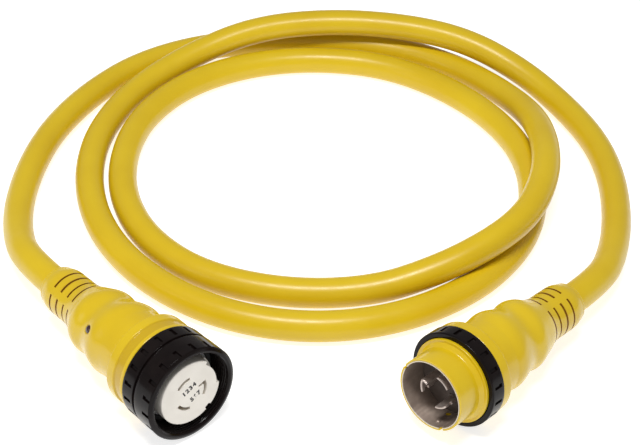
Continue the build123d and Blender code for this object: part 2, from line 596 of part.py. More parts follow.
def ground_shell():
    """Metal shell round the blades; its floor carries the ground post."""
    angle = PLUG_ANGLES["ground"]
    floor_top = PLUG_SHOULDER + SHELL_FLOOR_T
    body = tube(SHELL_R, SHELL_BORE_R, PLUG_SHOULDER, SHELL_TOP)
    body += tube(SHELL_R, SHELL_FLOOR_R, PLUG_SHOULDER, floor_top)
    body += sector(GROUND_R - GROUND_POST_R, SHELL_FLOOR_R + CUT, angle, GROUND_TAB_ARC, PLUG_SHOULDER,
                   floor_top)
    body += crimped_post("ground", angle, floor_top)
    dimple = Pos(*polar(SHELL_R, SHELL_MARK_ANGLE, SHELL_TOP - SHELL_DIMPLE_DEPTH)) * Sphere(SHELL_DIMPLE_R)
    body += dimple & rod(SHELL_R, PLUG_SHOULDER, SHELL_TOP)
    body -= radial_rod(SHELL_HOLE_R, SHELL_BORE_R - CUT, SHELL_R + CUT, SHELL_MARK_ANGLE,
                       SHELL_TOP - SHELL_HOLE_DEPTH)
    return body - rim_notches(SHELL_TOP)


def plug_sleeve():
    """Yellow sleeve over the shell; its step keeps the locking ring on."""
    step_top = SLEEVE_STEP + SLEEVE_STEP_T
    bore = SHELL_R + FIT
    body = turned([(bore, PLUG_FRONT), (SLEEVE_BARREL_R, PLUG_FRONT),
                   (SLEEVE_BARREL_R, SLEEVE_STEP), (SLEEVE_STEP_R, SLEEVE_STEP),
                   (SLEEVE_STEP_R, step_top - RING_EDGE / 2), (SLEEVE_STEP_R - RING_EDGE / 2, step_top),
                   (SLEEVE_NOSE_R + SLEEVE_FILLET, step_top),
                   (SLEEVE_NOSE_R + SLEEVE_FILLET / 3, step_top + SLEEVE_FILLET / 3),
                   (SLEEVE_NOSE_R, step_top + SLEEVE_FILLET), (SLEEVE_NOSE_R, SLEEVE_TOP),
                   (bore, SLEEVE_TOP)])
    return body - rim_notches(SLEEVE_TOP)


def blade(name):
    """Curved blade with its foot, post and crimp; the neutral one has an inward leg."""
    angle = PLUG_ANGLES[name]
    tip = SHELL_TOP - BLADE_TIP_DEPTH
    foot_top = PLUG_SHOULDER + BLADE_FOOT_T
    body = crimped_post(name, angle, PLUG_SHOULDER)
    body += band(BLADE_FOOT_W / 2, angle, BLADE_ARC + BLADE_FOOT_ARC, PLUG_SHOULDER, foot_top)
    body += band(BLADE_T / 2, angle, BLADE_ARC, foot_top, tip)
    if name == "neutral":
        body += hook(180 - HOOK_ANGLE, BLADE_T, foot_top, tip)
    notch_top = tip - LOCK_NOTCH_TIP
    lock = band(BLADE_T, angle + BLADE_ARC / 2, 2 * LOCK_NOTCH_ARC, notch_top - LOCK_NOTCH_L, notch_top)
    return body - lock


def plug_face():
    """Dark face at the bottom of the shell, with a slot for each blade."""
    body = rod(SHELL_BORE_R - FIT, PLUG_FACE_BACK, PLUG_FACE_TOP)
    slot = BLADE_T / 2 + FIT
    slot_arc = BLADE_ARC + degrees(2 * FIT / PIN_SPREAD_R)
    foot_arc = slot_arc + BLADE_FOOT_ARC
    foot_top = PLUG_SHOULDER + BLADE_FOOT_T + FIT
    low, high = PLUG_FACE_BACK - CUT, PLUG_FACE_TOP + CUT
    for name in LINES:
        angle = PLUG_ANGLES[name]
        body -= band(slot, angle, slot_arc, low, high)
        body -= band(BLADE_FOOT_W / 2 + FIT, angle, foot_arc, low, foot_top)
    return body - hook(180 - HOOK_ANGLE, 2 * slot, low, high)


def plug_locking_ring():
    """Ring that turns on the sleeve, between the grip's flange and the sleeve's step."""
    back = PLUG_FRONT + PLUG_RING_GAP
    top = back + PLUG_RING_LENGTH
    bore = SLEEVE_BARREL_R + RUN_GAP
    web_top = SLEEVE_STEP - RUN_GAP
    body = turned([(bore, back), (RING_R - RING_EDGE, back), (RING_R, back + RING_EDGE),
                   (RING_R, top - RING_EDGE), (RING_R - RING_EDGE, top),
                   (PLUG_RING_LIP_R + RING_EDGE / 2, top), (PLUG_RING_LIP_R, top - RING_EDGE / 2),
                   (PLUG_RING_LIP_R, web_top), (bore, web_top)])
    return body - ring_slots(RING_R, back + PLUG_RING_LENGTH / 2)


# ---------------------------------------------------------------- laying the pieces down
def end_plane(exit_xy, heading, tilt, rims):
    """Frame of an end that rests on the lowest of its rims, given as (radius, z) in that frame."""
    ahead = (cos(radians(heading)) * cos(radians(tilt)), sin(radians(heading)) * cos(radians(tilt)),
             sin(radians(tilt)))
    right = (-sin(radians(heading)), cos(radians(heading)), 0)
    height = max(radius * cos(radians(tilt)) - z * sin(radians(tilt)) for radius, z in rims)
    return Plane(origin=(*exit_xy, height), x_dir=right, z_dir=ahead)


def cable_points(connector, plug):
    """Route of the cable from the connector's relief to the plug's."""
    leave = connector.origin - connector.z_dir * CORD_LEAD
    enter = plug.origin - plug.z_dir * CORD_LEAD
    return [tuple(connector.origin), tuple(leave)] + ROUTE + [tuple(enter), tuple(plug.origin)]


def cable(connector, plug):
    points = cable_points(connector, plug)
    radii = corner_radii(points)
    body, length = round_bar(points, CABLE_D / 2, radii)
    print("cable length", round(length, 1), "radii", [round(radius) for radius in radii])
    print("cable volume", round(body.volume), "section by length", round(pi * CABLE_D**2 / 4 * length))
    return body


def connector_pieces():
    pieces = {"connector_grip": connector_grip(), "connector_insert": connector_insert(),
              "connector_face": connector_face(), "connector_ground_contact": ground_contact(),
              "connector_ring_retainer": ring_retainer(), "connector_jacket_end": jacket_end(),
              "connector_locking_ring": connector_locking_ring(), "connector_seal": connector_seal(),
              "power_light_lens": power_light_lens(), "power_light_led": power_light_led(),
              "power_light_board": power_light_board(), "power_light_resistor": power_light_resistor(),
              "power_light_leads": power_light_leads()}
    for name in LINES:
        pieces[f"connector_{name}_contact"] = spring_contact(name)
    for name, angle in CONNECTOR_ANGLES.items():
        pieces[f"connector_{name}_core"] = core(name, CONNECTOR_CORES[name], angle)
    return pieces


def plug_pieces():
    pieces = {"plug_grip": plug_grip(), "plug_insert": plug_insert(), "plug_face": plug_face(),
              "plug_ground_shell": ground_shell(), "plug_sleeve": plug_sleeve(),
              "plug_locking_ring": plug_locking_ring(), "plug_jacket_end": jacket_end()}
    for name in LINES:
        pieces[f"plug_{name}_blade"] = blade(name)
    for name, angle in PLUG_ANGLES.items():
        pieces[f"plug_{name}_core"] = core(name, PLUG_CORES[name], angle)
    return pieces


def solids_of(shape, place):
    """A piece, or a group of like pieces, laid at its place."""
    parts = shape if isinstance(shape, list) else [shape]
    solids = [solid for part in parts for solid in part.moved(place).solids()]
    return solids[0] if len(solids) == 1 else Compound(children=solids)


def main():
    os.makedirs("parts", exist_ok=True)
    connector = end_plane(CONNECTOR_EXIT, CONNECTOR_HEADING, CONNECTOR_TILT, CONNECTOR_RIMS)
    plug = end_plane(PLUG_EXIT, PLUG_HEADING, PLUG_TILT, PLUG_RIMS)
    export_step(cable(connector, plug), "parts/cable.step")
    for frame, pieces in ((connector, connector_pieces()), (plug, plug_pieces())):
        for name, shape in pieces.items():
            export_step(solids_of(shape, frame.location), f"parts/{name}.step")


main()
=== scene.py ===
import json
from math import radians

import bmesh
import bpy
import numpy as np
from mathutils import Matrix, Vector


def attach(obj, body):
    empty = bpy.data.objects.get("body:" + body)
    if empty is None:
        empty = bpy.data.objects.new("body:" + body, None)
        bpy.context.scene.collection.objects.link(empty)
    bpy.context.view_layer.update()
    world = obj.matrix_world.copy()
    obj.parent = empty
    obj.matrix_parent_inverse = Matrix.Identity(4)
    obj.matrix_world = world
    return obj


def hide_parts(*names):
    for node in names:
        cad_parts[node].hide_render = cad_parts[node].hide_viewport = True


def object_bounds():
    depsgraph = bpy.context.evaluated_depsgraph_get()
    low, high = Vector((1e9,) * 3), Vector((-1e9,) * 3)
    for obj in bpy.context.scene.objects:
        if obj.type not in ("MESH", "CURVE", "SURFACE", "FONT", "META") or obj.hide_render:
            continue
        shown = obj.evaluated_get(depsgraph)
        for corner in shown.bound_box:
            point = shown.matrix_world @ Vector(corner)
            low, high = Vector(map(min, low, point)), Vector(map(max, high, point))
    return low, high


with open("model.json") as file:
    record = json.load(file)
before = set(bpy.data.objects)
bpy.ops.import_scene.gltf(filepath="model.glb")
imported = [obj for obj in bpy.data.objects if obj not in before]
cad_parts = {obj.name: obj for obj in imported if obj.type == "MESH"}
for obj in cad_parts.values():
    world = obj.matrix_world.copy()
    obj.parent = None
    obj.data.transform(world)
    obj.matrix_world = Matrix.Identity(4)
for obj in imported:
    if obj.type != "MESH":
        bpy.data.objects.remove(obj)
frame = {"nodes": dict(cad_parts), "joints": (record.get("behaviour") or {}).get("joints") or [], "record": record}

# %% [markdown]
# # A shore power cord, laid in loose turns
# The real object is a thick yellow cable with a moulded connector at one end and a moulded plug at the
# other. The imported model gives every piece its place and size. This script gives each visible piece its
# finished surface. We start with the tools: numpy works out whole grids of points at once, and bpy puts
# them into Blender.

MM = 0.001
cad_box = [[float(x) for x in corner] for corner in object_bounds()]
nodes = frame["nodes"]
print("nodes:", len(nodes), "box:", [[round(x, 3) for x in corner] for corner in cad_box])

# %% [markdown]
# ## The camera
# A product picture is taken from the front and above, through a long lens, so that near and far turns of
# the cable look alike in thickness. A camera looks along its own -Z, with +Y up in the picture. We build
# its three axes from the elevation, turn them by a small roll, and write them into one matrix.

# %% Camera
LOOK_AT = Vector((0.004, 0.215, 0.0))
CAMERA_DISTANCE = 1.460
CAMERA_ELEVATION = radians(37.9)
CAMERA_ROLL = radians(1.68)
CAMERA_LENS = 87.75


def in_scene(name, data):
    """New object that shows a mesh, a curve, a camera or a light in the scene."""
    item = bpy.data.objects.new(name, data)
    bpy.context.scene.collection.objects.link(item)
    return item


def add_camera():
    """Camera at a distance from LOOK_AT, raised by an elevation and rolled about its own line of sight."""
    back = Vector((0, -np.cos(CAMERA_ELEVATION), np.sin(CAMERA_ELEVATION)))
    side = Vector((1, 0, 0))
    up = back.cross(side)
    x_axis = side * np.cos(CAMERA_ROLL) + up * np.sin(CAMERA_ROLL)
    y_axis = up * np.cos(CAMERA_ROLL) - side * np.sin(CAMERA_ROLL)
    data = bpy.data.cameras.new("camera")
    data.lens = CAMERA_LENS
    data.clip_end = 20
    camera = in_scene("camera", data)
    turn = Matrix((x_axis, y_axis, back)).transposed().to_4x4()
    camera.matrix_world = Matrix.Translation(LOOK_AT + back * CAMERA_DISTANCE) @ turn
    bpy.context.scene.camera = camera
    return camera


camera = add_camera()
print("camera at", [round(x, 3) for x in camera.matrix_world.translation])

# %% [markdown]
# ## Where the two ends lie
# Each end is a round moulding that lies on the floor with its mouth looking at us. It is simplest to
# model it standing on its cable entry, with +z towards the mouth, and to lay the finished points down
# at the end. The axis comes from the joint of its locking ring, and the entry is the point of the grip
# that lies furthest back on that axis.

# %% Frames of the ends
def vertices_of(mesh):
    """All the places of a mesh's vertices as one array."""
    points = np.empty(len(mesh.vertices) * 3)
    mesh.vertices.foreach_get("co", points)
    return points.reshape(-1, 3)


def end_frame(joint_name, grip):
    """Origin at the cable entry; right, up and ahead for someone who looks into the mouth."""
    joint = next(item for item in frame["joints"] if item["name"] == joint_name)
    ahead = np.array(joint["axis"])
    right = np.cross((0, 0, 1), ahead)
    right = right / np.linalg.norm(right)
    middle = np.array(joint["pos_m"])
    back = (vertices_of(nodes[grip].data) @ ahead).min() - middle @ ahead
    return {"entry": middle + back * ahead, "right": right, "up": np.cross(ahead, right), "ahead": ahead}


CONNECTOR = end_frame("connector_ring_turn", "connector_grip")
PLUG = end_frame("plug_ring_turn", "plug_grip")


def lay_down(points, end):
    """Points in an end's own millimetres to the model's metres: entry + x right + y up + z ahead."""
    points = np.asarray(points, float) * MM
    axes = np.stack([end["right"], end["up"], end["ahead"]])
    return end["entry"] + points @ axes


print("cable entries:", CONNECTOR["entry"].round(4), PLUG["entry"].round(4))

# %% [markdown]
# ## The cable
# A cable is a fixed length of something stiff that lies under its own weight. Its middle line is a NURBS
# spline: the points of the route pull the line towards them without it passing through them, which gives
# the even, springy curves of a thick jacket. The spline's bevel makes the round jacket: its depth times each
# point's own radius, so the depth is 1 and the points carry the real radius, which also keeps the curve's
# bounding box true. The order and the end setting are written after the points are added, because Blender
# limits them by the number of points.

# %% Cable
CABLE_DIAMETER = 0.027
CORD_LEAD = 0.050
LYING = CABLE_DIAMETER / 2 / MM
ROUTE = [
    (-269, 163, 17.5), (-277, 221, LYING), (-273, 287, LYING), (-260, 344, LYING), (-234, 402, LYING),
    (-194, 457, LYING), (-136, 496, LYING), (-68, 514, LYING), (9, 517, LYING), (82, 506, LYING),
    (141, 475, LYING), (185, 429, 15), (211, 375, 24), (218, 322, 37), (217, 269, 44),
    (209, 226, 44.5), (191, 180, 44), (158, 140, 43), (110, 113, 31.5), (51, 99, 15.5),
    (-26, 95, LYING), (-101, 117, LYING), (-154, 166, LYING), (-183, 231, LYING), (-189, 300, LYING),
    (-176, 365, LYING), (-139, 424, LYING), (-80, 465, LYING), (-8, 482, LYING), (70, 472, LYING),
    (136, 428, LYING), (184, 367, LYING), (207, 299, LYING), (204, 223, LYING), (181, 161, LYING),
    (137, 106, LYING), (70, 64, LYING), (-8, 50, LYING), (-84, 67, LYING), (-150, 112, LYING),
    (-196, 176, LYING), (-219, 253, LYING), (-218, 333, LYING), (-190, 409, 15), (-138, 462, 25),
    (-71, 494, 41), (9, 508, 44.5), (88, 502, 44.5), (153, 481, 42), (210, 450, 26),
    (252, 399, 14.5), (276, 340, LYING), (284, 281, LYING), (281, 220, 14), (270, 164, 17),
]


def cable_points():
    """The connector's entry, straight out of it, the route, and straight into the plug's entry."""
    ends = [[end["entry"], end["entry"] - CORD_LEAD * end["ahead"]] for end in (CONNECTOR, PLUG)]
    return np.concatenate([ends[0], np.array(ROUTE) * MM, ends[1][::-1]])


def add_cable():
    """One open NURBS spline of order 3 through the route, with a round bevel."""
    points = cable_points()
    curve = bpy.data.curves.new("cable_jacket", "CURVE")
    curve.dimensions = "3D"
    curve.bevel_depth = 1.0
    curve.bevel_resolution = 10
    curve.resolution_u = 16
    curve.use_fill_caps = True
    spline = curve.splines.new("NURBS")
    spline.points.add(len(points) - 1)
    spline.points.foreach_set("co", np.column_stack([points, np.ones(len(points))]).ravel())
    spline.points.foreach_set("radius", np.full(len(points), CABLE_DIAMETER / 2))
    spline.order_u = 3
    spline.use_endpoint_u = True
    return in_scene("cable_jacket", curve)


cable = add_cable()
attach(cable, "cordset")
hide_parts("cable")
print("cable of", len(ROUTE) + 4, "points")

# %% [markdown]
# ## Surfaces on a grid
# Nearly every piece of a cord set is turned: a profile goes round an axis. As a grid that is a function of
# two parameters, a place along the profile and an angle. Once the radius and the height are whole arrays,
# a slot, a thread or a key is one more term of the formula, which no modifier gives as cleanly. The
# helpers below make the profile, spread it round the axis and turn the grid into a closed mesh. The last
# ones say which body a piece rides on and which imported node it stands for.

# %% Profiles
EDGE = 0.3          # millimetres over which a cut's wall goes from top to bottom
BENDS = 5           # points on every rounding of a profile


def outline(corners, step=2.5, closing=True):
    """Profile of (radius, z, rounding) corners as rows of (radius, z), closing back to the first or not.

    A corner c becomes (1-t)^2 a + 2t(1-t) c + t^2 b, a parabola between the points a and b where an arc
    of that rounding would touch its two sides. A side longer than step is split evenly.
    """
    corners = np.array(corners, float)
    here, rounding = corners[:, :2], corners[:, 2:]
    to_last = np.roll(here, 1, axis=0) - here
    to_next = np.roll(here, -1, axis=0) - here
    to_last /= np.linalg.norm(to_last, axis=1, keepdims=True)
    to_next /= np.linalg.norm(to_next, axis=1, keepdims=True)
    half = np.arccos(np.clip((to_last * to_next).sum(axis=1, keepdims=True), -1, 1)) / 2
    reach = rounding / np.tan(half)
    starts, ends = here + to_last * reach, here + to_next * reach
    rows = []
    for start, corner, end, after, size in zip(starts, here, ends, np.roll(starts, -1, axis=0), rounding):
        t = np.linspace(0, 1, BENDS if size[0] > 0 else 1)[:, None]
        rows.append((1 - t) ** 2 * start + 2 * t * (1 - t) * corner + t**2 * end)
        splits = int(np.linalg.norm(after - end) // step)
        rows.append(end + (after - end) * np.arange(1, splits + 1)[:, None] / (splits + 1))
    return np.concatenate(rows if closing else rows[:-1])


def smooth_radius(z, knots):
    """Radius at z between knots of (z, radius, slope): the cubic that meets both radii and both slopes."""
    knots = np.array(knots, float)
    index = np.clip(np.searchsorted(knots[:, 0], z, side="right") - 1, 0, len(knots) - 2)
    z0, r0, s0 = knots[index].T
    z1, r1, s1 = knots[index + 1].T
    h = z1 - z0
    t = (z - z0) / h
    return ((1 + 2 * t) * (1 - t) ** 2 * r0 + t * (1 - t) ** 2 * h * s0
            + t**2 * (3 - 2 * t) * r1 + t**2 * (t - 1) * h * s1)


# %% Grids
MERGED = 1e-6               # metres within which two points become one
CREASE = radians(40)        # angle from which an edge is drawn sharp


def from_angle(theta, centre, period=360.0):
    """Signed angle from the nearest of the centres that repeat every period, in degrees."""
    return (theta - centre + period / 2) % period - period / 2


def inside(distance, half_width, edge=EDGE):
    """1 within half_width of zero, 0 beyond it, with a straight wall of width edge between."""
    return np.clip((half_width + edge / 2 - np.abs(distance)) / edge, 0, 1)


def angles(count, marks=(), width=0.6):
    """Even angles round the axis, with a pair of close ones at each mark, where a cut has a wall."""
    marks = np.array(marks, float).reshape(-1)
    near = np.concatenate([marks - width / 2, marks + width / 2]) % 360
    even = np.arange(count) * 360 / count
    gap = np.abs(from_angle(even[:, None], near[None, :])).min(axis=1) if len(near) else even + 360
    return np.unique(np.concatenate([even[gap > width], near]))


def turned(rows, theta):
    """Arrays of radius, height and angle for a profile carried round the axis."""
    radius, theta_grid = np.meshgrid(rows[:, 0], theta, indexing="ij")
    height, _ = np.meshgrid(rows[:, 1], theta, indexing="ij")
    return radius, height, theta_grid


def points_of(radius, height, theta):
    """(radius cos theta, radius sin theta, height) for whole arrays."""
    turn = np.radians(theta)
    return np.stack([radius * np.cos(turn), radius * np.sin(turn), height], axis=-1)


def clean(mesh, crease):
    """Merges points that coincide, drops what vanishes with them, and shades smooth up to the crease."""
    work = bmesh.new()
    work.from_mesh(mesh)
    bmesh.ops.remove_doubles(work, verts=work.verts, dist=MERGED)
    bmesh.ops.dissolve_degenerate(work, edges=work.edges, dist=MERGED / 10)
    work.to_mesh(mesh)
    work.free()
    mesh.shade_smooth()
    mesh.set_sharp_from_angle(angle=crease)


def piece_of(name, mesh, stands_for=None, body="cordset"):
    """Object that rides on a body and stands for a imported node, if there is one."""
    piece = in_scene(name, mesh)
    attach(piece, body)
    if stands_for:
        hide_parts(stands_for)
    print(f"{name}: {len(mesh.polygons)} faces")
    return piece


def skin(name, grid, end, stands_for, body="cordset", loop=True, shade=None):
    """Closed piece over a grid of points, in which four neighbours make a quad.

    The columns always close round it, the rows only if the profile is a loop; one that isn't has to shrink
    to points or lines at both ends. The sign of the volume, a third of the sum of each face's centre times
    its area vector, says whether the faces point outwards; if it is negative their order is turned round.
    A shade, if given, is kept on the points for the material to read.
    """
    rows, columns = grid.shape[:2]
    index = np.arange(rows * columns).reshape(rows, columns)
    if loop:
        index = np.vstack([index, index[:1]])
    index = np.hstack([index, index[:, :1]])
    quads = np.stack([index[:-1, :-1], index[:-1, 1:], index[1:, 1:], index[1:, :-1]], axis=-1).reshape(-1, 4)
    flat = grid.reshape(-1, 3)
    corner = flat[quads]
    area = np.cross(corner[:, 2] - corner[:, 0], corner[:, 3] - corner[:, 1]) / 2
    if (corner.mean(axis=1) * area).sum() < 0:
        quads = quads[:, ::-1]
    mesh = bpy.data.meshes.new(name)
    mesh.from_pydata(lay_down(flat, end).tolist(), [], quads.tolist())
    if shade is not None:
        mesh.attributes.new("shade", "FLOAT", "POINT").data.foreach_set("value", shade.ravel().astype("f"))
    clean(mesh, CREASE)
    return piece_of(name, mesh, stands_for, body)


# %% [markdown]
# ## The yellow grips
# Each grip is one soft yellow moulding round the cable's end: a strain relief with flexing slots, a rear
# bulge, a shallow neck, a larger front bulge, a barrel and a flange. Both ends share all but the flange.
# The outer wall is a smooth radius along z, the slots lower it in two sets that leave a plain rib between,
# and the same profile runs on over the flange and back through the bore, so the wall is closed. The two
# bulges lean a little, which is one more term of the same formula.

# %% Grip sizes, in millimetres from the cable entry
GRIP_LENGTH = 129.0
WALL_START, BARREL_START = 2.5, 110.0
RELIEF_END_R, RELIEF_R, BARREL_R = 18.7, 20.9, 32.6
WALL_KNOTS = [            # z, radius and slope along the outer wall
    (WALL_START, RELIEF_END_R, 0.30), (13.0, RELIEF_R, 0.0), (33.0, RELIEF_R, 0.0), (48.0, 23.7, 0.349),
    (57.0, 27.3, 0.418), (69.5, 30.5, -0.048), (78.0, 29.3, -0.023), (87.0, 31.2, 0.333),
    (99.5, 33.9, -0.029), (BARREL_START, BARREL_R, 0.0), (GRIP_LENGTH, BARREL_R, 0.0),
]
LEAN = 0.112              # rise of the bulges for each millimetre to the right
LEAN_START, LEAN_END, LEAN_FADE = 50.0, 114.0, 12.0
BORE_R = 13.6
SEAT_R, SEAT_BACK = 27.1, 93.0
RELIEF_SLOT_Z = 18.2 + 9.5 * np.arange(4)
RELIEF_SLOT_W = 1.3
RELIEF_SLOT_DEPTH = 2.6
RELIEF_RIB = 9.5          # degrees from the middle of a plain rib to the slots
RIB_EDGE = 1.2            # degrees over which a slot rises to the rib
SHADE_SPREAD = 0.35              # millimetres that the painted shade of a slot spreads past it


def grip_rows(flange):
    """Profile of a grip: outer wall at close stations, the flange's corners, and back through the bore."""
    walls = np.concatenate([RELIEF_SLOT_Z + side * (RELIEF_SLOT_W / 2 + shift)
                            for side in (-1, 1) for shift in (-EDGE / 2, EDGE / 2)])
    close = np.arange(WALL_START, BARREL_START + 2, 0.9)
    wide = np.arange(BARREL_START + 2.5, GRIP_LENGTH - 1, 2.5)
    z = np.unique(np.concatenate([close, walls, wide]))
    wall = np.column_stack([smooth_radius(z, WALL_KNOTS), z])
    front = flange[-1][1]
    rest = outline([(BARREL_R, GRIP_LENGTH - 3, 0), (BARREL_R, GRIP_LENGTH, 0.8), *flange,
                    (SEAT_R, front, 0.3), (SEAT_R, SEAT_BACK, 0.3), (BORE_R, SEAT_BACK, 0.3),
                    (BORE_R, 0.0, 0.3), (RELIEF_END_R - 0.3, 0.0, 1.6), (RELIEF_END_R, 2.0, 0)],
                   closing=False)
    return np.concatenate([wall, rest])


def grip_grid(flange, roll):
    """Radius lowered in the slots: depth times a wall in z times a wall in the angle from the ribs.

    The bulges lean: their height rises with x = radius cos theta, faded out towards relief and barrel.
    The last array is painted shade, 1 in the slots and a little past their edges.
    """
    ribs = [roll + turn + side * RELIEF_RIB for turn in (0, 180) for side in (-1, 1)]
    radius, height, theta = turned(grip_rows(flange), angles(200, ribs, RIB_EDGE))
    outer = radius > BORE_R + 2
    from_slots = height[..., None] - RELIEF_SLOT_Z
    band = np.clip((np.abs(from_angle(theta, roll, 180)) - RELIEF_RIB) / RIB_EDGE + 0.5, 0, 1) * outer
    slot = inside(from_slots, RELIEF_SLOT_W / 2).max(axis=-1) * band
    # painted shade: the slots and a little past their edges are coloured darker, where shade falls
    slot_shade = inside(from_slots, RELIEF_SLOT_W / 2 + SHADE_SPREAD).max(axis=-1) * band
    fade = np.clip((height - LEAN_START) / LEAN_FADE, 0, 1) * np.clip((LEAN_END - height) / LEAN_FADE, 0, 1)
    rise = LEAN * radius * np.cos(np.radians(theta)) * outer * fade * fade * (3 - 2 * fade)
    return radius - RELIEF_SLOT_DEPTH * slot, height + rise, theta, slot_shade


# %% Connector grip
CONNECTOR_FLANGE = [(40.0, GRIP_LENGTH, 1.0), (40.0, 137.6, 0.6), (38.8, 138.6, 0.4), (38.8, 146.6, 0.4),
                    (40.4, 147.6, 0.7), (40.4, 151.2, 0.9)]
CONNECTOR_ROLL = 140.5                                  # angle of a plain rib
# the groove's painted shade: how much darker the flange's groove is coloured
GROOVE_MIDDLE, GROOVE_HALF_W, GROOVE_SHADE = 142.6, 4.6, 0.30
LIGHT_Z, LIGHT_ANGLE = 85.5, 146.0
LIGHT_R, LIGHT_SEAT_DEPTH = 3.4, 1.6


def connector_grip():
    """The shared grip with a round seat for the power light, sunk by a smooth wall round its centre; seat, groove
    and slots carry painted shade.
    """
    radius, height, theta, slot_shade = grip_grid(CONNECTOR_FLANGE, CONNECTOR_ROLL)
    outer = radius > SEAT_R + 0.5
    across = np.radians(from_angle(theta, LIGHT_ANGLE)) * radius
    seat = inside(np.hypot(height - LIGHT_Z, across), LIGHT_R + 0.2, 1.0) * outer
    groove = GROOVE_SHADE * inside(height - GROOVE_MIDDLE, GROOVE_HALF_W, 0.8) * outer
    # painted shade: the seat, the flange's groove and the relief slots are coloured darker, where shade falls
    return skin("connector_grip_moulding", points_of(radius - LIGHT_SEAT_DEPTH * seat, height, theta),
                CONNECTOR, stands_for="connector_grip",
                shade=np.maximum.reduce([slot_shade, seat, groove]))


connector_moulding = connector_grip()

# %% Plug grip
PLUG_FLANGE = [(40.2, GRIP_LENGTH, 1.8), (40.2, 139.4, 0.9)]
PLUG_ROLL = 72.8


def plug_grip():
    """The shared grip with the plug's short flange."""
    radius, height, theta, slot_shade = grip_grid(PLUG_FLANGE, PLUG_ROLL)
    return skin("plug_grip_moulding", points_of(radius, height, theta), PLUG,
                stands_for="plug_grip", shade=slot_shade)


plug_moulding = plug_grip()

# %% [markdown]
# ## The locking rings
# The black rings are hard, glossy nylon. Eighteen finger slots run round each band. The connector's ring
# is a deep collar with a screw thread inside. A Screw modifier would wind the thread as a spring of its
# own; here the wall's radius rises and falls with z over the pitch minus the angle over a full turn, which
# is a helix in the same closed wall. The plug's ring is a narrow band.

# %% Locking rings
RING_R = 41.2
SLOTS = 18
SLOT_HALF_W, SLOT_HALF_L, SLOT_DEPTH = 1.5, 4.1, 1.6
THREAD_PITCH, THREAD_DEPTH = 2.54, 0.8


def slot_angles(radius):
    """Angles with a close pair at each side of every finger slot."""
    half = np.degrees(SLOT_HALF_W / radius)
    centres = np.arange(SLOTS) * 360 / SLOTS
    return angles(180, np.concatenate([centres - half, centres + half]), np.degrees(EDGE / radius))


def finger_slots(radius, height, theta, outer_r, middle):
    """Depth of the slots of one band: a wall across the slot times a wall along it, on the outside."""
    across = np.radians(from_angle(theta, 0, 360 / SLOTS)) * outer_r
    cut = inside(across, SLOT_HALF_W) * inside(height - middle, SLOT_HALF_L)
    return SLOT_DEPTH * cut * (radius > outer_r - 0.6)


def slot_marks(radius, middle):
    """Rows at the ends of a band's slots."""
    ends = [middle + side * SLOT_HALF_L + shift for side in (-1, 1) for shift in (-EDGE / 2, EDGE / 2)]
    return [(radius, z, 0) for z in ends]


# %% The connector's collar
def connector_ring():
    """Deep collar: two slotted bands with a groove between, a web behind, and the thread's helix inside.

    The thread's rows are step apart, and its height fades in and out over fade at both ends.
    """
    back, web_back, web_top, groove_back, groove_front, top = 151.9, 156.4, 162.9, 165.3, 168.4, 188.7
    bore, rear_bore, thread_r, mouth_r, groove_r, front_r = 29.3, 37.5, 36.0, 37.0, 39.4, 41.5
    rear_middle, front_middle, step, fade = 158.6, 182.9, 0.3, 1.5
    rows = outline([(bore, web_back, 0.3), (rear_bore, web_back, 0.3), (rear_bore, back, 0.4),
                    (RING_R, back, 0.9), *slot_marks(RING_R, rear_middle), (RING_R, groove_back, 0.3),
                    (groove_r, groove_back + 0.5, 0.3), (groove_r, groove_front - 0.5, 0.3),
                    (front_r, groove_front, 0.4), *slot_marks(front_r, front_middle)[:3],
                    (front_r, top - 1.6, 0.4), (front_r - 1, top - 0.8, 0.5), (mouth_r + 1.5, top, 0.8),
                    (mouth_r, top, 0.5), (thread_r, top - 1.2, 0.3), (thread_r, web_top, 0.3),
                    (bore, web_top, 0.3)])
    thread_from, thread_to = web_top + 2.5, top - 1.6
    wall = (np.abs(rows[:, 0] - thread_r) < 0.05) & (rows[:, 1] > web_top) & (rows[:, 1] < top - 1)
    first, last = np.flatnonzero(wall)[[0, -1]]
    z = np.arange(rows[first, 1], rows[last, 1], -step)
    rows = np.concatenate([rows[:first], np.column_stack([np.full_like(z, thread_r), z]), rows[last + 1:]])
    radius, height, theta = turned(rows, slot_angles(RING_R))
    phase = 2 * np.pi * (height / THREAD_PITCH - theta / 360)
    ends = np.clip((height - thread_from) / fade, 0, 1) * np.clip((thread_to - height) / fade, 0, 1)
    thread = THREAD_DEPTH * (0.5 - 0.5 * np.cos(phase)) * ends * (np.abs(radius - thread_r) < 0.05)
    cuts = (finger_slots(radius, height, theta, RING_R, rear_middle)
            + finger_slots(radius, height, theta, front_r, front_middle))
    return skin("connector_ring_collar", points_of(radius + thread - cuts, height, theta), CONNECTOR,
                body="connector_ring", stands_for="connector_locking_ring")


def plug_ring():
    """Narrow band with one row of slots, and a shallow seat in front for the sleeve's step."""
    back, middle, web_top, top = 139.8, 146.9, 153.1, 154.0
    bore, seat_r = 33.3, 37.0
    rows = outline([(bore, back, 0.3), (RING_R, back, 0.9), *slot_marks(RING_R, middle), (RING_R, top, 0.9),
                    (seat_r, top, 0.5), (seat_r, web_top, 0.2), (bore, web_top, 0.2)])
    radius, height, theta = turned(rows, slot_angles(RING_R))
    cuts = finger_slots(radius, height, theta, RING_R, middle)
    return skin("plug_ring_band", points_of(radius - cuts, height, theta), PLUG, body="plug_ring",
                stands_for="plug_locking_ring")


collar, band = connector_ring(), plug_ring()

# %% [markdown]
# ## The connector's face
# The cream face is a moulded disc with three curved blade slots on one circle, one of them with a short
# leg inwards. Its side has two gaps for the ground springs, and its rim is cut back 3 mm over part of the
# right side, as a key. Booleans would cut them and leave long thin faces. But every edge follows either a
# radius or an angle, so on a grid of both they are crisp: the slots sink the height, and the gaps and the
# key limit the radius.

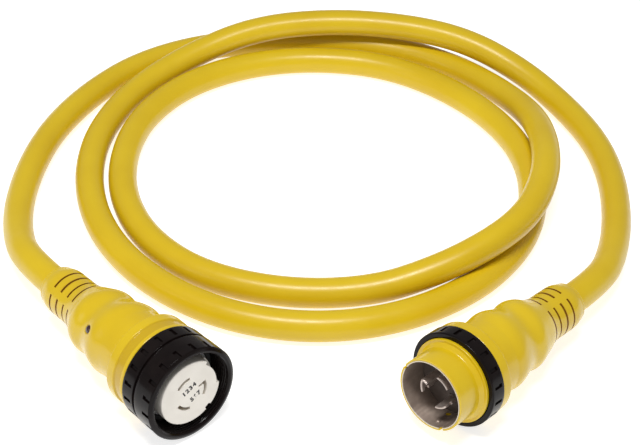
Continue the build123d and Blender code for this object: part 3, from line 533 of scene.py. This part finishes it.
# %% Face
BLADE_CIRCLE_R = 14.2
BLADE_ARC = 51.0
BLADE_ANGLES = {"line_1": 115.0, "neutral": -7.0, "line_2": -125.0}
HOOK_ANGLE = 14.5
HOOK_LENGTH = 4.6
FINGER_ANGLES = (42.0, -56.0)
FINGER_FLOOR_R = 25.3
KEY_LOW, KEY_HIGH, KEY_DEPTH, KEY_LENGTH = -9.0, 50.0, 3.0, 10.8
FACE_BACK, FACE_TOP, FACE_R = 164.8, 186.3, 28.2


def connector_face():
    """Height sunk inside |radius - circle| < half slot, |angle - blade| < half arc; radius capped at gaps."""
    half_slot, half_arc, depth = 1.25, BLADE_ARC / 2 + 1, 9.0
    hook_half, finger_half, disc_edge = 5.0, 5.5, 27.0
    wall = 0.8            # degrees over which a side of a slot or gap goes down
    near_slot = BLADE_CIRCLE_R + np.array([-half_slot - 0.2, -half_slot, half_slot, half_slot + 0.2])
    hook_end = BLADE_CIRCLE_R - HOOK_LENGTH - half_slot
    key_floor = FACE_R - KEY_DEPTH
    marked_r = [*near_slot, hook_end - 0.2, hook_end, key_floor - 0.2, key_floor]
    disc_r = np.unique(np.concatenate([np.arange(0, disc_edge, 1.5), marked_r]))
    edge = outline([(disc_edge, FACE_TOP, 0), (FACE_R, FACE_TOP, 0.9), (FACE_R, FACE_TOP - KEY_LENGTH, 0),
                    (FACE_R, FACE_TOP - KEY_LENGTH - 0.2, 0), (FACE_R, FACE_BACK, 0.2), (0, FACE_BACK, 0)],
                   1.6, closing=False)
    rows = np.concatenate([np.column_stack([disc_r, np.full_like(disc_r, FACE_TOP)]), edge[1:]])
    marks = [blade + side * half_arc for blade in BLADE_ANGLES.values() for side in (-1, 1)]
    marks += [finger + side * finger_half for finger in FINGER_ANGLES for side in (-1, 1)]
    marks += [HOOK_ANGLE - hook_half, HOOK_ANGLE + hook_half, KEY_LOW, KEY_HIGH]
    radius, height, theta = turned(rows, angles(150, marks, wall))
    ring = inside(radius - BLADE_CIRCLE_R, half_slot + 0.1, 0.2)
    arcs = [inside(from_angle(theta, blade), half_arc, wall) for blade in BLADE_ANGLES.values()]
    leg = inside(radius - (hook_end + BLADE_CIRCLE_R) / 2, (BLADE_CIRCLE_R - hook_end) / 2 + 0.1, 0.2)
    leg = leg * inside(from_angle(theta, HOOK_ANGLE), hook_half, wall)
    slot = np.maximum(ring * np.max(arcs, axis=0), leg) * (height > FACE_TOP - 0.1)
    gap = np.max([inside(from_angle(theta, finger), finger_half, wall) for finger in FINGER_ANGLES], axis=0)
    key = inside(from_angle(theta, (KEY_LOW + KEY_HIGH) / 2), (KEY_HIGH - KEY_LOW) / 2, wall)
    limit = FACE_R - KEY_DEPTH * key * (height > FACE_TOP - KEY_LENGTH)
    limit = np.where(gap > 0, np.minimum(limit, FACE_R - (FACE_R - FINGER_FLOOR_R) * gap), limit)
    grid = points_of(np.minimum(radius, limit), height - depth * slot, theta)
    # the slot mask is also kept as painted shade, which colours the slots darker
    return skin("connector_face_disc", grid, CONNECTOR, stands_for="connector_face",
                loop=False, shade=slot)


face = connector_face()

# %% [markdown]
# Small dark numerals are printed on the middle of the face. They are plain counting numbers. A text object
# is the easy way to get their outlines; it becomes a mesh first, and is then laid on the face.

# %% Printed numerals
NUMERAL_SIZE = 5.8
NUMERAL_WEIGHT = 0.30     # millimetres added all round each outline
NUMERAL_LIFT = 0.02       # millimetres above the face
NUMERAL_TURN = radians(24)


def numerals(name, words, at):
    """Flat numerals of a text object, turned, moved to their place and laid just above the face."""
    curve = bpy.data.curves.new(name, "FONT")
    curve.body = words
    curve.align_x = curve.align_y = "CENTER"
    curve.size = NUMERAL_SIZE
    curve.space_character = 1.3
    curve.extrude = 0.015
    curve.offset = NUMERAL_WEIGHT
    holder = bpy.data.objects.new(name, curve)
    mesh = bpy.data.meshes.new_from_object(holder)
    bpy.data.objects.remove(holder)
    x, y, z = vertices_of(mesh).T
    cos, sin = np.cos(NUMERAL_TURN), np.sin(NUMERAL_TURN)
    flat = np.column_stack([at[0] + x * cos - y * sin, at[1] + x * sin + y * cos,
                            z + FACE_TOP + NUMERAL_LIFT])
    mesh.vertices.foreach_set("co", lay_down(flat, CONNECTOR).ravel())
    return piece_of(name, mesh)


printed = [numerals("face_numerals_upper", "1234", (-1.2, 4.2)),
           numerals("face_numerals_lower", "567", (4.0, -5.4))]

# %% [markdown]
# ## The plug's nose
# Round the blades stands a thin metal shell, and over it a yellow sleeve with a step that keeps the
# locking ring on. Two keyways are cut into the rim of both, and the shell has a pressed dimple and a hole
# through which the yellow sleeve shows. The sleeve is another turned grid, whose height is limited at the
# keyways.

# %% Sleeve
PLUG_FRONT = 139.4
SLEEVE_TOP, SHELL_TOP = 181.2, 181.4
SHELL_R = 29.3
NOTCH_ANGLES = (158.0, -60.0)
NOTCH_DEPTH, NOTCH_HALF_W = 2.6, 2.0


def notch(theta, radius):
    """Wall across each keyway, in millimetres round the rim."""
    across = [np.radians(from_angle(theta, angle)) * radius for angle in NOTCH_ANGLES]
    return np.max([inside(distance, NOTCH_HALF_W) for distance in across], axis=0)


def notch_marks(radius):
    """Angles of the keyways' sides."""
    half = np.degrees(NOTCH_HALF_W / radius)
    return [angle + side * half for angle in NOTCH_ANGLES for side in (-1, 1)]


def plug_sleeve():
    """Barrel that the ring runs on, step that keeps it there, nose, and keyways that lower the rim."""
    step, step_top = 153.4, 156.1
    bore, nose_r, barrel_r, step_r = SHELL_R + 0.1, 31.0, 33.0, 36.4
    rows = outline([(bore, PLUG_FRONT, 0.2), (barrel_r, PLUG_FRONT, 0.2), (barrel_r, step, 0.2),
                    (step_r, step, 0.4), (step_r, step_top, 0.7), (nose_r + 2.9, step_top, 0.3),
                    (nose_r + 2.3, step_top + 0.5, 0.3), (nose_r, step_top + 2.9, 1.6),
                    (nose_r, SLEEVE_TOP - NOTCH_DEPTH - 0.1, 0), (nose_r, SLEEVE_TOP, 0.3),
                    (bore, SLEEVE_TOP, 0.2)], 1.8)
    radius, height, theta = turned(rows, angles(180, notch_marks(nose_r)))
    top = SLEEVE_TOP - NOTCH_DEPTH * notch(theta, nose_r)
    return skin("plug_sleeve_moulding", points_of(radius, np.minimum(height, top), theta), PLUG,
                stands_for="plug_sleeve")


sleeve = plug_sleeve()

# %% [markdown]
# A hole through a thin wall doesn't fit a grid of radius and angle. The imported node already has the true
# hole and dimple, so the shell is a copy of its mesh: its loose triangles are merged, and a Bevel modifier
# rounds the rim enough to catch the light.

# %% Shell
SHELL_BEVEL = 0.00012     # metres
SHELL_CREASE = radians(35)


def eased_copy(name, node, bevel):
    """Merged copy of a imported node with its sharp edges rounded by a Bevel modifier."""
    mesh = nodes[node].data.copy()
    mesh.name = name
    mesh.materials.clear()
    clean(mesh, SHELL_CREASE)
    piece = piece_of(name, mesh, node)
    rounding = piece.modifiers.new("rounding", "BEVEL")
    rounding.width = bevel
    rounding.segments = 2
    rounding.limit_method = "ANGLE"
    rounding.angle_limit = SHELL_CREASE
    rounding.harden_normals = True
    return piece


shell = eased_copy("plug_shell_tube", "plug_ground_shell", SHELL_BEVEL)

# %% [markdown]
# ## Blades
# Each blade is a strip of plated brass bent along the contact circle, and the neutral one has a leg turned
# inwards. A bevelled curve would give the strip but neither its tip nor its notch. So it is a grid: a path
# in plan, a thickness across it and a height. Near the tip the thickness closes over a quarter circle, and
# one edge has the notch that locks a twisted plug.

# %% Blades
BLADE_T = 2.0
BLADE_EDGE, BLADE_EDGE_T = 0.5, 0.35    # length of the rounding of both edges, and the share of T left there
BLADE_LOW, BLADE_TIP = 143.0, 175.9
LOCK_LOW, LOCK_HIGH, LOCK_REACH = 168.1, 172.9, 2.2


def blade_path(angle, hooked):
    """Points in plan along the blade's middle line: an arc of the circle, with the leg in front of it."""
    turn = np.radians(np.linspace(-BLADE_ARC / 2, BLADE_ARC / 2, 28) + angle)
    arc = BLADE_CIRCLE_R * np.column_stack([np.cos(turn), np.sin(turn)])
    if not hooked:
        return arc
    corner = arc[0] + (arc[1] - arc[0]) / np.linalg.norm(arc[1] - arc[0]) * BLADE_T / 2
    inwards = -corner / np.linalg.norm(corner)
    leg = corner + inwards * np.linspace(HOOK_LENGTH + BLADE_T / 2, 1.2, 9)[:, None]
    return np.concatenate([leg, arc[3:]])


def blade(name, angle, hooked=False):
    """Strip round a path: middle line plus or minus half the thickness times the path's normal.

    Towards both edges the thickness follows a quarter circle, down to its share there.
    """
    path = blade_path(angle, hooked)
    along = np.concatenate([[0], np.linalg.norm(np.diff(path, axis=0), axis=1).cumsum()])
    tip_round = BLADE_T / 2
    z = np.concatenate([[BLADE_LOW], np.linspace(BLADE_LOW + 1, LOCK_LOW - 0.6, 12),
                        [LOCK_LOW - 0.1, LOCK_LOW + 0.1], np.linspace(LOCK_LOW + 0.6, LOCK_HIGH - 0.6, 5),
                        [LOCK_HIGH - 0.1, LOCK_HIGH + 0.1, BLADE_TIP - tip_round],
                        BLADE_TIP - tip_round * (1 - np.sin(np.radians([20, 40, 60, 75, 90])))])
    locked = inside(z - (LOCK_LOW + LOCK_HIGH) / 2, (LOCK_HIGH - LOCK_LOW) / 2, 0.2)
    closing = np.clip((z - BLADE_TIP + tip_round) / tip_round, 0, 1)
    half = BLADE_T / 2 * np.sqrt(1 - closing**2)
    end = along[-1] - LOCK_REACH * locked
    share = np.linspace(0, 1, 40)
    reach = share[None, :] * end[:, None]
    middle = np.stack([np.interp(reach, along, path[:, axis]) for axis in (0, 1)], axis=-1)
    tangent = np.gradient(middle, axis=1)
    tangent /= np.linalg.norm(tangent, axis=-1, keepdims=True)
    normal = np.stack([-tangent[..., 1], tangent[..., 0]], axis=-1)
    near_edge = (1 - np.minimum(reach, end[:, None] - reach) / BLADE_EDGE).clip(0, 1)
    ease = BLADE_EDGE_T + (1 - BLADE_EDGE_T) * np.sqrt(1 - near_edge**2)
    offset = normal * (half[:, None] * ease)[..., None]
    loop = np.concatenate([middle + offset, (middle - offset)[:, ::-1]], axis=1)
    height = np.broadcast_to(z[:, None], loop.shape[:2])
    grid = np.concatenate([loop, height[..., None]], axis=-1)
    foot = grid[:1].copy()
    foot[0, :, :2] = np.concatenate([middle[0], middle[0][::-1]])
    return skin(name, np.concatenate([foot, grid]), PLUG,
                loop=False, stands_for=name.replace("_strip", ""))


blades = [blade("plug_line_1_blade_strip", 180 - BLADE_ANGLES["line_1"]),
          blade("plug_neutral_blade_strip", 180 - BLADE_ANGLES["neutral"], hooked=True),
          blade("plug_line_2_blade_strip", 180 - BLADE_ANGLES["line_2"])]

# %% [markdown]
# ## The plug's inner face
# The blades stand out of a dark disc at the bottom of the shell, and each has a low boss round its foot.
# Separate bosses would leave a seam, so they are a rise in the disc's own height.

# %% Plug's inner face
def plug_face():
    """Disc with a height that rises inside |radius - circle| < half boss, |angle - blade| < half arc."""
    low, top, edge = 142.0, 156.4, 28.4
    wall = 1.2            # degrees over which an end of a boss goes down
    boss_half_w, boss_height, half_arc = 3.05, 0.6, BLADE_ARC / 2 + 4
    boss_r = BLADE_CIRCLE_R + np.array([-3.2, -2.9, 0.0, 2.9, 3.2])
    disc_r = np.concatenate([np.arange(0, 10.6, 1.5), boss_r, np.arange(18.5, edge, 1.5)])
    side = outline([(27.8, top, 0), (edge, top, 0.5), (edge, low, 0.2), (0, low, 0)], 4, closing=False)
    rows = np.concatenate([np.column_stack([disc_r, np.full_like(disc_r, top)]), side[1:]])
    blades_at = [180 - angle for angle in BLADE_ANGLES.values()]
    marks = [angle + way * half_arc for angle in blades_at for way in (-1, 1)]
    radius, height, theta = turned(rows, angles(90, marks, wall))
    arc = np.max([inside(from_angle(theta, angle), half_arc, wall) for angle in blades_at], axis=0)
    boss = boss_height * arc * inside(radius - BLADE_CIRCLE_R, boss_half_w) * (height > top - 0.05)
    return skin("plug_face_disc", points_of(radius, height + boss, theta), PLUG,
                stands_for="plug_face", loop=False)


inner_face = plug_face()

# %% [markdown]
# ## The power light
# A small lamp on the front bulge's rear slope shows that the cord is live. Its lens is a dark dome. A
# flattened sphere would look alike, but a turned profile also reaches down into the round seat: over a
# quarter turn, the radius follows the cosine and the height the sine.

# %% Power light
def light_lens():
    """Dome on a short barrel, turned about its own axis and then laid along the radius at its angle."""
    foot, seat, dome = 24.0, 30.3, 1.5
    quarter = np.linspace(0, np.pi / 2, 10)
    rows = np.concatenate([[(0.0, foot), (LIGHT_R, foot), (LIGHT_R, seat)],
                           np.column_stack([LIGHT_R * np.cos(quarter), seat + dome * np.sin(quarter)])])
    local = points_of(*turned(rows, angles(32)))
    out = np.array([np.cos(radians(LIGHT_ANGLE)), np.sin(radians(LIGHT_ANGLE)), 0])
    across = np.array([-out[1], out[0], 0])
    grid = local[..., :1] * across + local[..., 1:2] * (0, 0, 1) + local[..., 2:] * out + (0, 0, LIGHT_Z)
    return skin("power_light_dome", grid, CONNECTOR, stands_for="power_light_lens",
                loop=False)


lens = light_lens()

# %% [markdown]
# ## Materials
# No real surface is one flat colour. Every material here starts from Object coordinates, which are
# metres, so a noise of scale 400 has grains of about two and a half millimetres. A slow noise shifts the
# colour, a finer one the roughness, and the finest the height. Values that are the same all over the
# surface are set on the shader's own sockets.

# %% Material helpers
def new_material(name):
    """New node material, its tree, and its one shader, joined to the output."""
    material = bpy.data.materials.new(name)
    material.use_nodes = True
    tree = material.node_tree
    tree.nodes.clear()
    output = tree.nodes.new("ShaderNodeOutputMaterial")
    shader = tree.nodes.new("ShaderNodeBsdfPrincipled")
    tree.links.new(shader.outputs[0], output.inputs[0])
    return material, tree, shader


def noise(tree, scale, detail=3.0, roughness=0.5, stretch=None):
    """Noise on Object coordinates, optionally stretched along an axis by a Mapping node."""
    place = tree.nodes.new("ShaderNodeTexCoord").outputs["Object"]
    if stretch:
        mapping = tree.nodes.new("ShaderNodeMapping")
        mapping.inputs["Scale"].default_value = stretch
        tree.links.new(place, mapping.inputs["Vector"])
        place = mapping.outputs[0]
    texture = tree.nodes.new("ShaderNodeTexNoise")
    texture.inputs["Scale"].default_value = scale
    texture.inputs["Detail"].default_value = detail
    texture.inputs["Roughness"].default_value = roughness
    tree.links.new(place, texture.inputs["Vector"])
    return texture.outputs["Fac"]


def ranged(tree, value, low, high, start=0.3, end=0.7):
    """Value from start..end mapped onto low..high and held there."""
    node = tree.nodes.new("ShaderNodeMapRange")
    node.inputs["From Min"].default_value = start
    node.inputs["From Max"].default_value = end
    node.inputs["To Min"].default_value = low
    node.inputs["To Max"].default_value = high
    tree.links.new(value, node.inputs["Value"])
    return node.outputs["Result"]


def mixed(tree, factor, first, second):
    """Mix of two colours; each is a colour or the output of another node."""
    node = tree.nodes.new("ShaderNodeMix")
    node.data_type = "RGBA"
    tree.links.new(factor, node.inputs["Factor"])
    for socket, colour in zip((node.inputs[6], node.inputs[7]), (first, second)):
        if isinstance(colour, tuple):
            socket.default_value = (*colour, 1.0)
        else:
            tree.links.new(colour, socket)
    return node.outputs[2]


def two_tone(tree, scale, pair, detail=3.0):
    """Slow noise between the two colours of a pair."""
    return mixed(tree, ranged(tree, noise(tree, scale, detail), 0, 1), *pair)


def finish_of(tree, shader, colour, gloss, specular=0.5):
    """Colour and roughness of a shader from other nodes, and its plain specular level."""
    tree.links.new(colour, shader.inputs["Base Color"])
    tree.links.new(gloss, shader.inputs["Roughness"])
    shader.inputs["Specular IOR Level"].default_value = specular


def bumped(tree, shader, heights):
    """Chain of Bump nodes, one for each (height, distance in metres, strength)."""
    last = None
    for height, distance, strength in heights:
        node = tree.nodes.new("ShaderNodeBump")
        node.inputs["Distance"].default_value = distance
        node.inputs["Strength"].default_value = strength
        tree.links.new(height, node.inputs["Height"])
        if last:
            tree.links.new(last, node.inputs["Normal"])
        last = node.outputs[0]
    tree.links.new(last, shader.inputs["Normal"])


def shade_of(tree):
    """The piece's own shade attribute: 1 in its grooves, 0 elsewhere."""
    node = tree.nodes.new("ShaderNodeAttribute")
    node.attribute_name = "shade"
    return node.outputs["Fac"]


# %% [markdown]
# ### Yellow moulding and yellow jacket
# Both are soft, warm yellow plastics with a satin gloss. The moulding has the fine orange-peel of a mould
# and a painted brown shade in its slots, seat and groove: the grid has kept there a shade of 1, which the
# material reads and no noise could place. The jacket is smoother and waves a little over the twisted conductors.

# %% Yellow finishes
YELLOWS = (0.610, 0.410, 0.006), (0.660, 0.462, 0.010)
# colour of the painted shade in the slots, the light's seat and the flange's groove
PAINTED_SHADE_BROWN = (0.250, 0.105, 0.005)


def yellow_moulding():
    """Satin yellow, with a painted brown shade where the shade attribute is 1."""
    material, tree, shader = new_material("yellow_moulding")
    colour = mixed(tree, shade_of(tree), two_tone(tree, 22, YELLOWS), PAINTED_SHADE_BROWN)
    finish_of(tree, shader, colour, ranged(tree, noise(tree, 180), 0.17, 0.25))
    bumped(tree, shader, [(noise(tree, 38, 2), 0.0003, 0.15), (noise(tree, 1400, 2), 0.00003, 0.15)])
    return material


def yellow_jacket():
    """The same yellow, a little duller and less grained."""
    material, tree, shader = new_material("yellow_jacket")
    finish_of(tree, shader, two_tone(tree, 14, YELLOWS), ranged(tree, noise(tree, 120), 0.28, 0.37), 0.40)
    bumped(tree, shader, [(noise(tree, 30, 2), 0.0005, 0.2), (noise(tree, 900, 2), 0.00003, 0.15)])
    return material


# %% [markdown]
# ### Black nylon and cream nylon
# Hard nylon takes a deep gloss. On the black rings one stretched noise drives both roughness and height,
# so that the fine scuffs agree. The cream face is duller, a little uneven in colour, and has a painted darker
# shade down in its slots.

# %% Nylon finishes
BLACKS = (0.004, 0.0025, 0.0025), (0.009, 0.006, 0.0055)
CREAMS = (0.74, 0.70, 0.63), (0.80, 0.76, 0.69)
CREAM_PAINTED_SHADE = (0.46, 0.37, 0.25)


def black_nylon():
    """Near black with a deep gloss, and scuffs drawn out by a Mapping node."""
    material, tree, shader = new_material("black_nylon")
    scuffs = noise(tree, 260, 5, 0.65, stretch=(1.0, 1.0, 3.0))
    finish_of(tree, shader, two_tone(tree, 60, BLACKS), ranged(tree, scuffs, 0.10, 0.20), 0.13)
    bumped(tree, shader, [(noise(tree, 90, 3), 0.0004, 0.2), (scuffs, 0.00005, 0.3)])
    return material


def cream_nylon():
    """Dull cream, with a painted darker shade where the shade attribute is 1."""
    material, tree, shader = new_material("cream_nylon")
    colour = mixed(tree, shade_of(tree), two_tone(tree, 70, CREAMS), CREAM_PAINTED_SHADE)
    finish_of(tree, shader, colour, ranged(tree, noise(tree, 300), 0.42, 0.55))
    bumped(tree, shader, [(noise(tree, 1200, 2), 0.00004, 0.3)])
    return material


# %% [markdown]
# ### Plated metal
# The shell is drawn and tin-plated: dull grey-brown inside, where the die dragged fine lines along it, with a
# painted highlight on the rim. How far a point lies along the plug's axis is the dot product of its place
# with the axis, which a Vector Math node works out.

# %% Metals
SHELL_DULL = (0.240, 0.183, 0.150), (0.340, 0.270, 0.222)
SHELL_RIM_HIGHLIGHT = (0.62, 0.54, 0.42)


def along_axis(tree, end, start, stop):
    """0 at start and 1 at stop, in an end's own millimetres ahead of its cable entry."""
    place = tree.nodes.new("ShaderNodeTexCoord").outputs["Object"]
    dot = tree.nodes.new("ShaderNodeVectorMath")
    dot.operation = "DOT_PRODUCT"
    dot.inputs[1].default_value = tuple(end["ahead"])
    tree.links.new(place, dot.inputs[0])
    zero = float(end["entry"] @ end["ahead"])
    return ranged(tree, dot.outputs["Value"], 0, 1, zero + start * MM, zero + stop * MM)


def shell_steel():
    """Dull grey-brown with a painted highlight over the last millimetre of the shell."""
    material, tree, shader = new_material("shell_steel")
    # painted highlight: the rim's colour turns bright
    rim = along_axis(tree, PLUG, SHELL_TOP - 0.9, SHELL_TOP - 0.3)
    colour = mixed(tree, rim, two_tone(tree, 90, SHELL_DULL, 4), SHELL_RIM_HIGHLIGHT)
    finish_of(tree, shader, colour, ranged(tree, noise(tree, 500, 4), 0.34, 0.50))
    shader.inputs["Metallic"].default_value = 0.5
    bumped(tree, shader, [(noise(tree, 700, 3), 0.00004, 0.3)])
    return material


# %% [markdown]
# ### The light's lens and the small pieces
# The lens is dark red resin under a clear coat. The blades, the plug's inner face, the numerals and the
# pieces inside the ends are small or hidden, so they share one kind of finish, two close colours with a
# fine grain, and a table says which colours, how coarse, how rough and whether it is metal.

# %% Lens and table of finishes
LENS_REDS = (0.020, 0.006, 0.008), (0.050, 0.012, 0.014)


def lens_resin():
    """Dark red with a clear coat."""
    material, tree, shader = new_material("light_lens")
    tree.links.new(two_tone(tree, 900, LENS_REDS), shader.inputs["Base Color"])
    shader.inputs["Roughness"].default_value = 0.06
    shader.inputs["Coat Weight"].default_value = 0.6
    bumped(tree, shader, [(noise(tree, 1500, 2), 0.00003, 0.2)])
    return material


def speckled(name, first, second, scale, roughness, metallic=0.0):
    """Two close colours by noise, a roughness range and a fine grain."""
    material, tree, shader = new_material(name)
    gloss = ranged(tree, noise(tree, scale * 4), *roughness)
    finish_of(tree, shader, two_tone(tree, scale, (first, second)), gloss)
    shader.inputs["Metallic"].default_value = metallic
    bumped(tree, shader, [(noise(tree, scale * 8, 2), 0.00004, 0.3)])
    return material


SMALL_FINISHES = {        # two colours, scale of the noise, range of roughness, metallic
    "grey_nylon": ((0.060, 0.045, 0.038), (0.095, 0.072, 0.060), 160, (0.35, 0.5)),
    "insert_nylon": ((0.020, 0.019, 0.019), (0.035, 0.033, 0.033), 160, (0.35, 0.5)),
    "contact_brass": ((0.60, 0.42, 0.16), (0.72, 0.54, 0.24), 200, (0.28, 0.4), 1.0),
    "plated_brass": ((0.42, 0.35, 0.31), (0.58, 0.50, 0.45), 200, (0.28, 0.42), 0.7),
    "retainer_steel": ((0.42, 0.42, 0.42), (0.55, 0.55, 0.54), 200, (0.3, 0.42), 1.0),
    "seal_rubber": ((0.014, 0.014, 0.014), (0.026, 0.025, 0.025), 300, (0.6, 0.8)),
    "core_black": ((0.015, 0.015, 0.015), (0.03, 0.03, 0.03), 200, (0.4, 0.55)),
    "core_red": ((0.42, 0.020, 0.014), (0.52, 0.035, 0.022), 200, (0.4, 0.55)),
    "core_white": ((0.72, 0.72, 0.70), (0.82, 0.82, 0.80), 200, (0.4, 0.55)),
    "core_green": ((0.020, 0.180, 0.045), (0.035, 0.240, 0.065), 200, (0.4, 0.55)),
    "light_led": ((0.45, 0.03, 0.02), (0.60, 0.05, 0.03), 600, (0.1, 0.2)),
    "board_green": ((0.02, 0.13, 0.05), (0.04, 0.18, 0.07), 600, (0.3, 0.45)),
    "resistor_tan": ((0.48, 0.36, 0.22), (0.58, 0.45, 0.28), 800, (0.4, 0.55)),
    "lead_black": ((0.012, 0.012, 0.012), (0.02, 0.02, 0.02), 600, (0.45, 0.6)),
}
own_finishes = (yellow_moulding, yellow_jacket, black_nylon, cream_nylon, shell_steel)
finishes = {make.__name__: make() for make in own_finishes}
finishes["light_lens"] = lens_resin()
finishes |= {name: speckled(name, *row) for name, row in SMALL_FINISHES.items()}
print("finishes:", ", ".join(finishes))


# %% Dressing
def dress(piece, slot):
    """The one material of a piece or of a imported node."""
    piece.data.materials.clear()
    piece.data.materials.append(finishes[slot])


WEARS = {                 # the finish of each new piece; the numerals' ink is as dull as rubber
    "yellow_jacket": [cable], "yellow_moulding": [connector_moulding, plug_moulding, sleeve],
    "black_nylon": [collar, band], "cream_nylon": [face], "shell_steel": [shell],
    "grey_nylon": [inner_face], "light_lens": [lens], "plated_brass": blades, "seal_rubber": printed,
}
for slot, pieces in WEARS.items():
    for piece in pieces:
        dress(piece, slot)
for part in frame["record"]["subparts"]:
    dress(nodes[part["node"]], part["material_slot"])
print("dressed:", sum(map(len, WEARS.values())), "new pieces and", len(nodes), "packed nodes")

# %% [markdown]
# ## Floor and light
# The floor is pale and plain and the surroundings are white, so the object is lit from all sides. The
# floor also glows a little, so that shadows and the yellow thrown back stay faint. A long area light above
# and in front draws the highlights on the round forms, and a weaker one at the left fills both mouths.

# %% Floor
FLOOR_REACH = 6.0         # metres each way
FLOOR_GREYS = (0.62, 0.62, 0.62), (0.64, 0.64, 0.64)
FLOOR_GLOW = 0.72


def add_floor():
    """Flat sheet a tenth of a millimetre under the object's base."""
    mesh = bpy.data.meshes.new("floor")
    corners = np.array([(-1, -1, 0), (1, -1, 0), (1, 1, 0), (-1, 1, 0)], float) * FLOOR_REACH
    corners[:, 2] = cad_box[0][2] - 0.0001
    mesh.from_pydata(corners.tolist(), [], [(0, 1, 2, 3)])
    floor = in_scene("floor", mesh)
    material, tree, shader = new_material("pale_floor")
    tree.links.new(mixed(tree, noise(tree, 3), *FLOOR_GREYS), shader.inputs["Base Color"])
    shader.inputs["Roughness"].default_value = 0.9
    shader.inputs["Emission Color"].default_value = (1, 1, 1, 1)
    shader.inputs["Emission Strength"].default_value = FLOOR_GLOW
    mesh.materials.append(material)
    return floor


floor = add_floor()
print(floor.name, "of", 2 * FLOOR_REACH, "m")


# %% Light
def add_area(name, place, aim, size, power):
    """Rectangular area light at a place, turned to face a point."""
    data = bpy.data.lights.new(name, "AREA")
    data.shape = "RECTANGLE"
    data.size, data.size_y = size
    data.energy = power
    light = in_scene(name, data)
    light.location = place
    light.rotation_euler = (Vector(aim) - Vector(place)).to_track_quat("-Z", "Y").to_euler()
    return light


def add_surroundings(strength):
    """Plain white world."""
    world = bpy.data.worlds.new("white_room")
    world.use_nodes = True
    back = world.node_tree.nodes["Background"]
    back.inputs["Color"].default_value = (1, 1, 1, 1)
    back.inputs["Strength"].default_value = strength
    bpy.context.scene.world = world


add_surroundings(strength=0.36)
lights = [add_area("key", place=(-0.12, -0.35, 1.7), aim=(0, 0.2, 0), size=(0.8, 0.3), power=24.5),
          add_area("fill", place=(-1.6, -0.8, 0.8), aim=(0, 0, 0), size=(1.0, 0.8), power=3)]
bpy.context.scene.view_settings.view_transform = "Standard"
print("lights:", [light.name for light in lights])
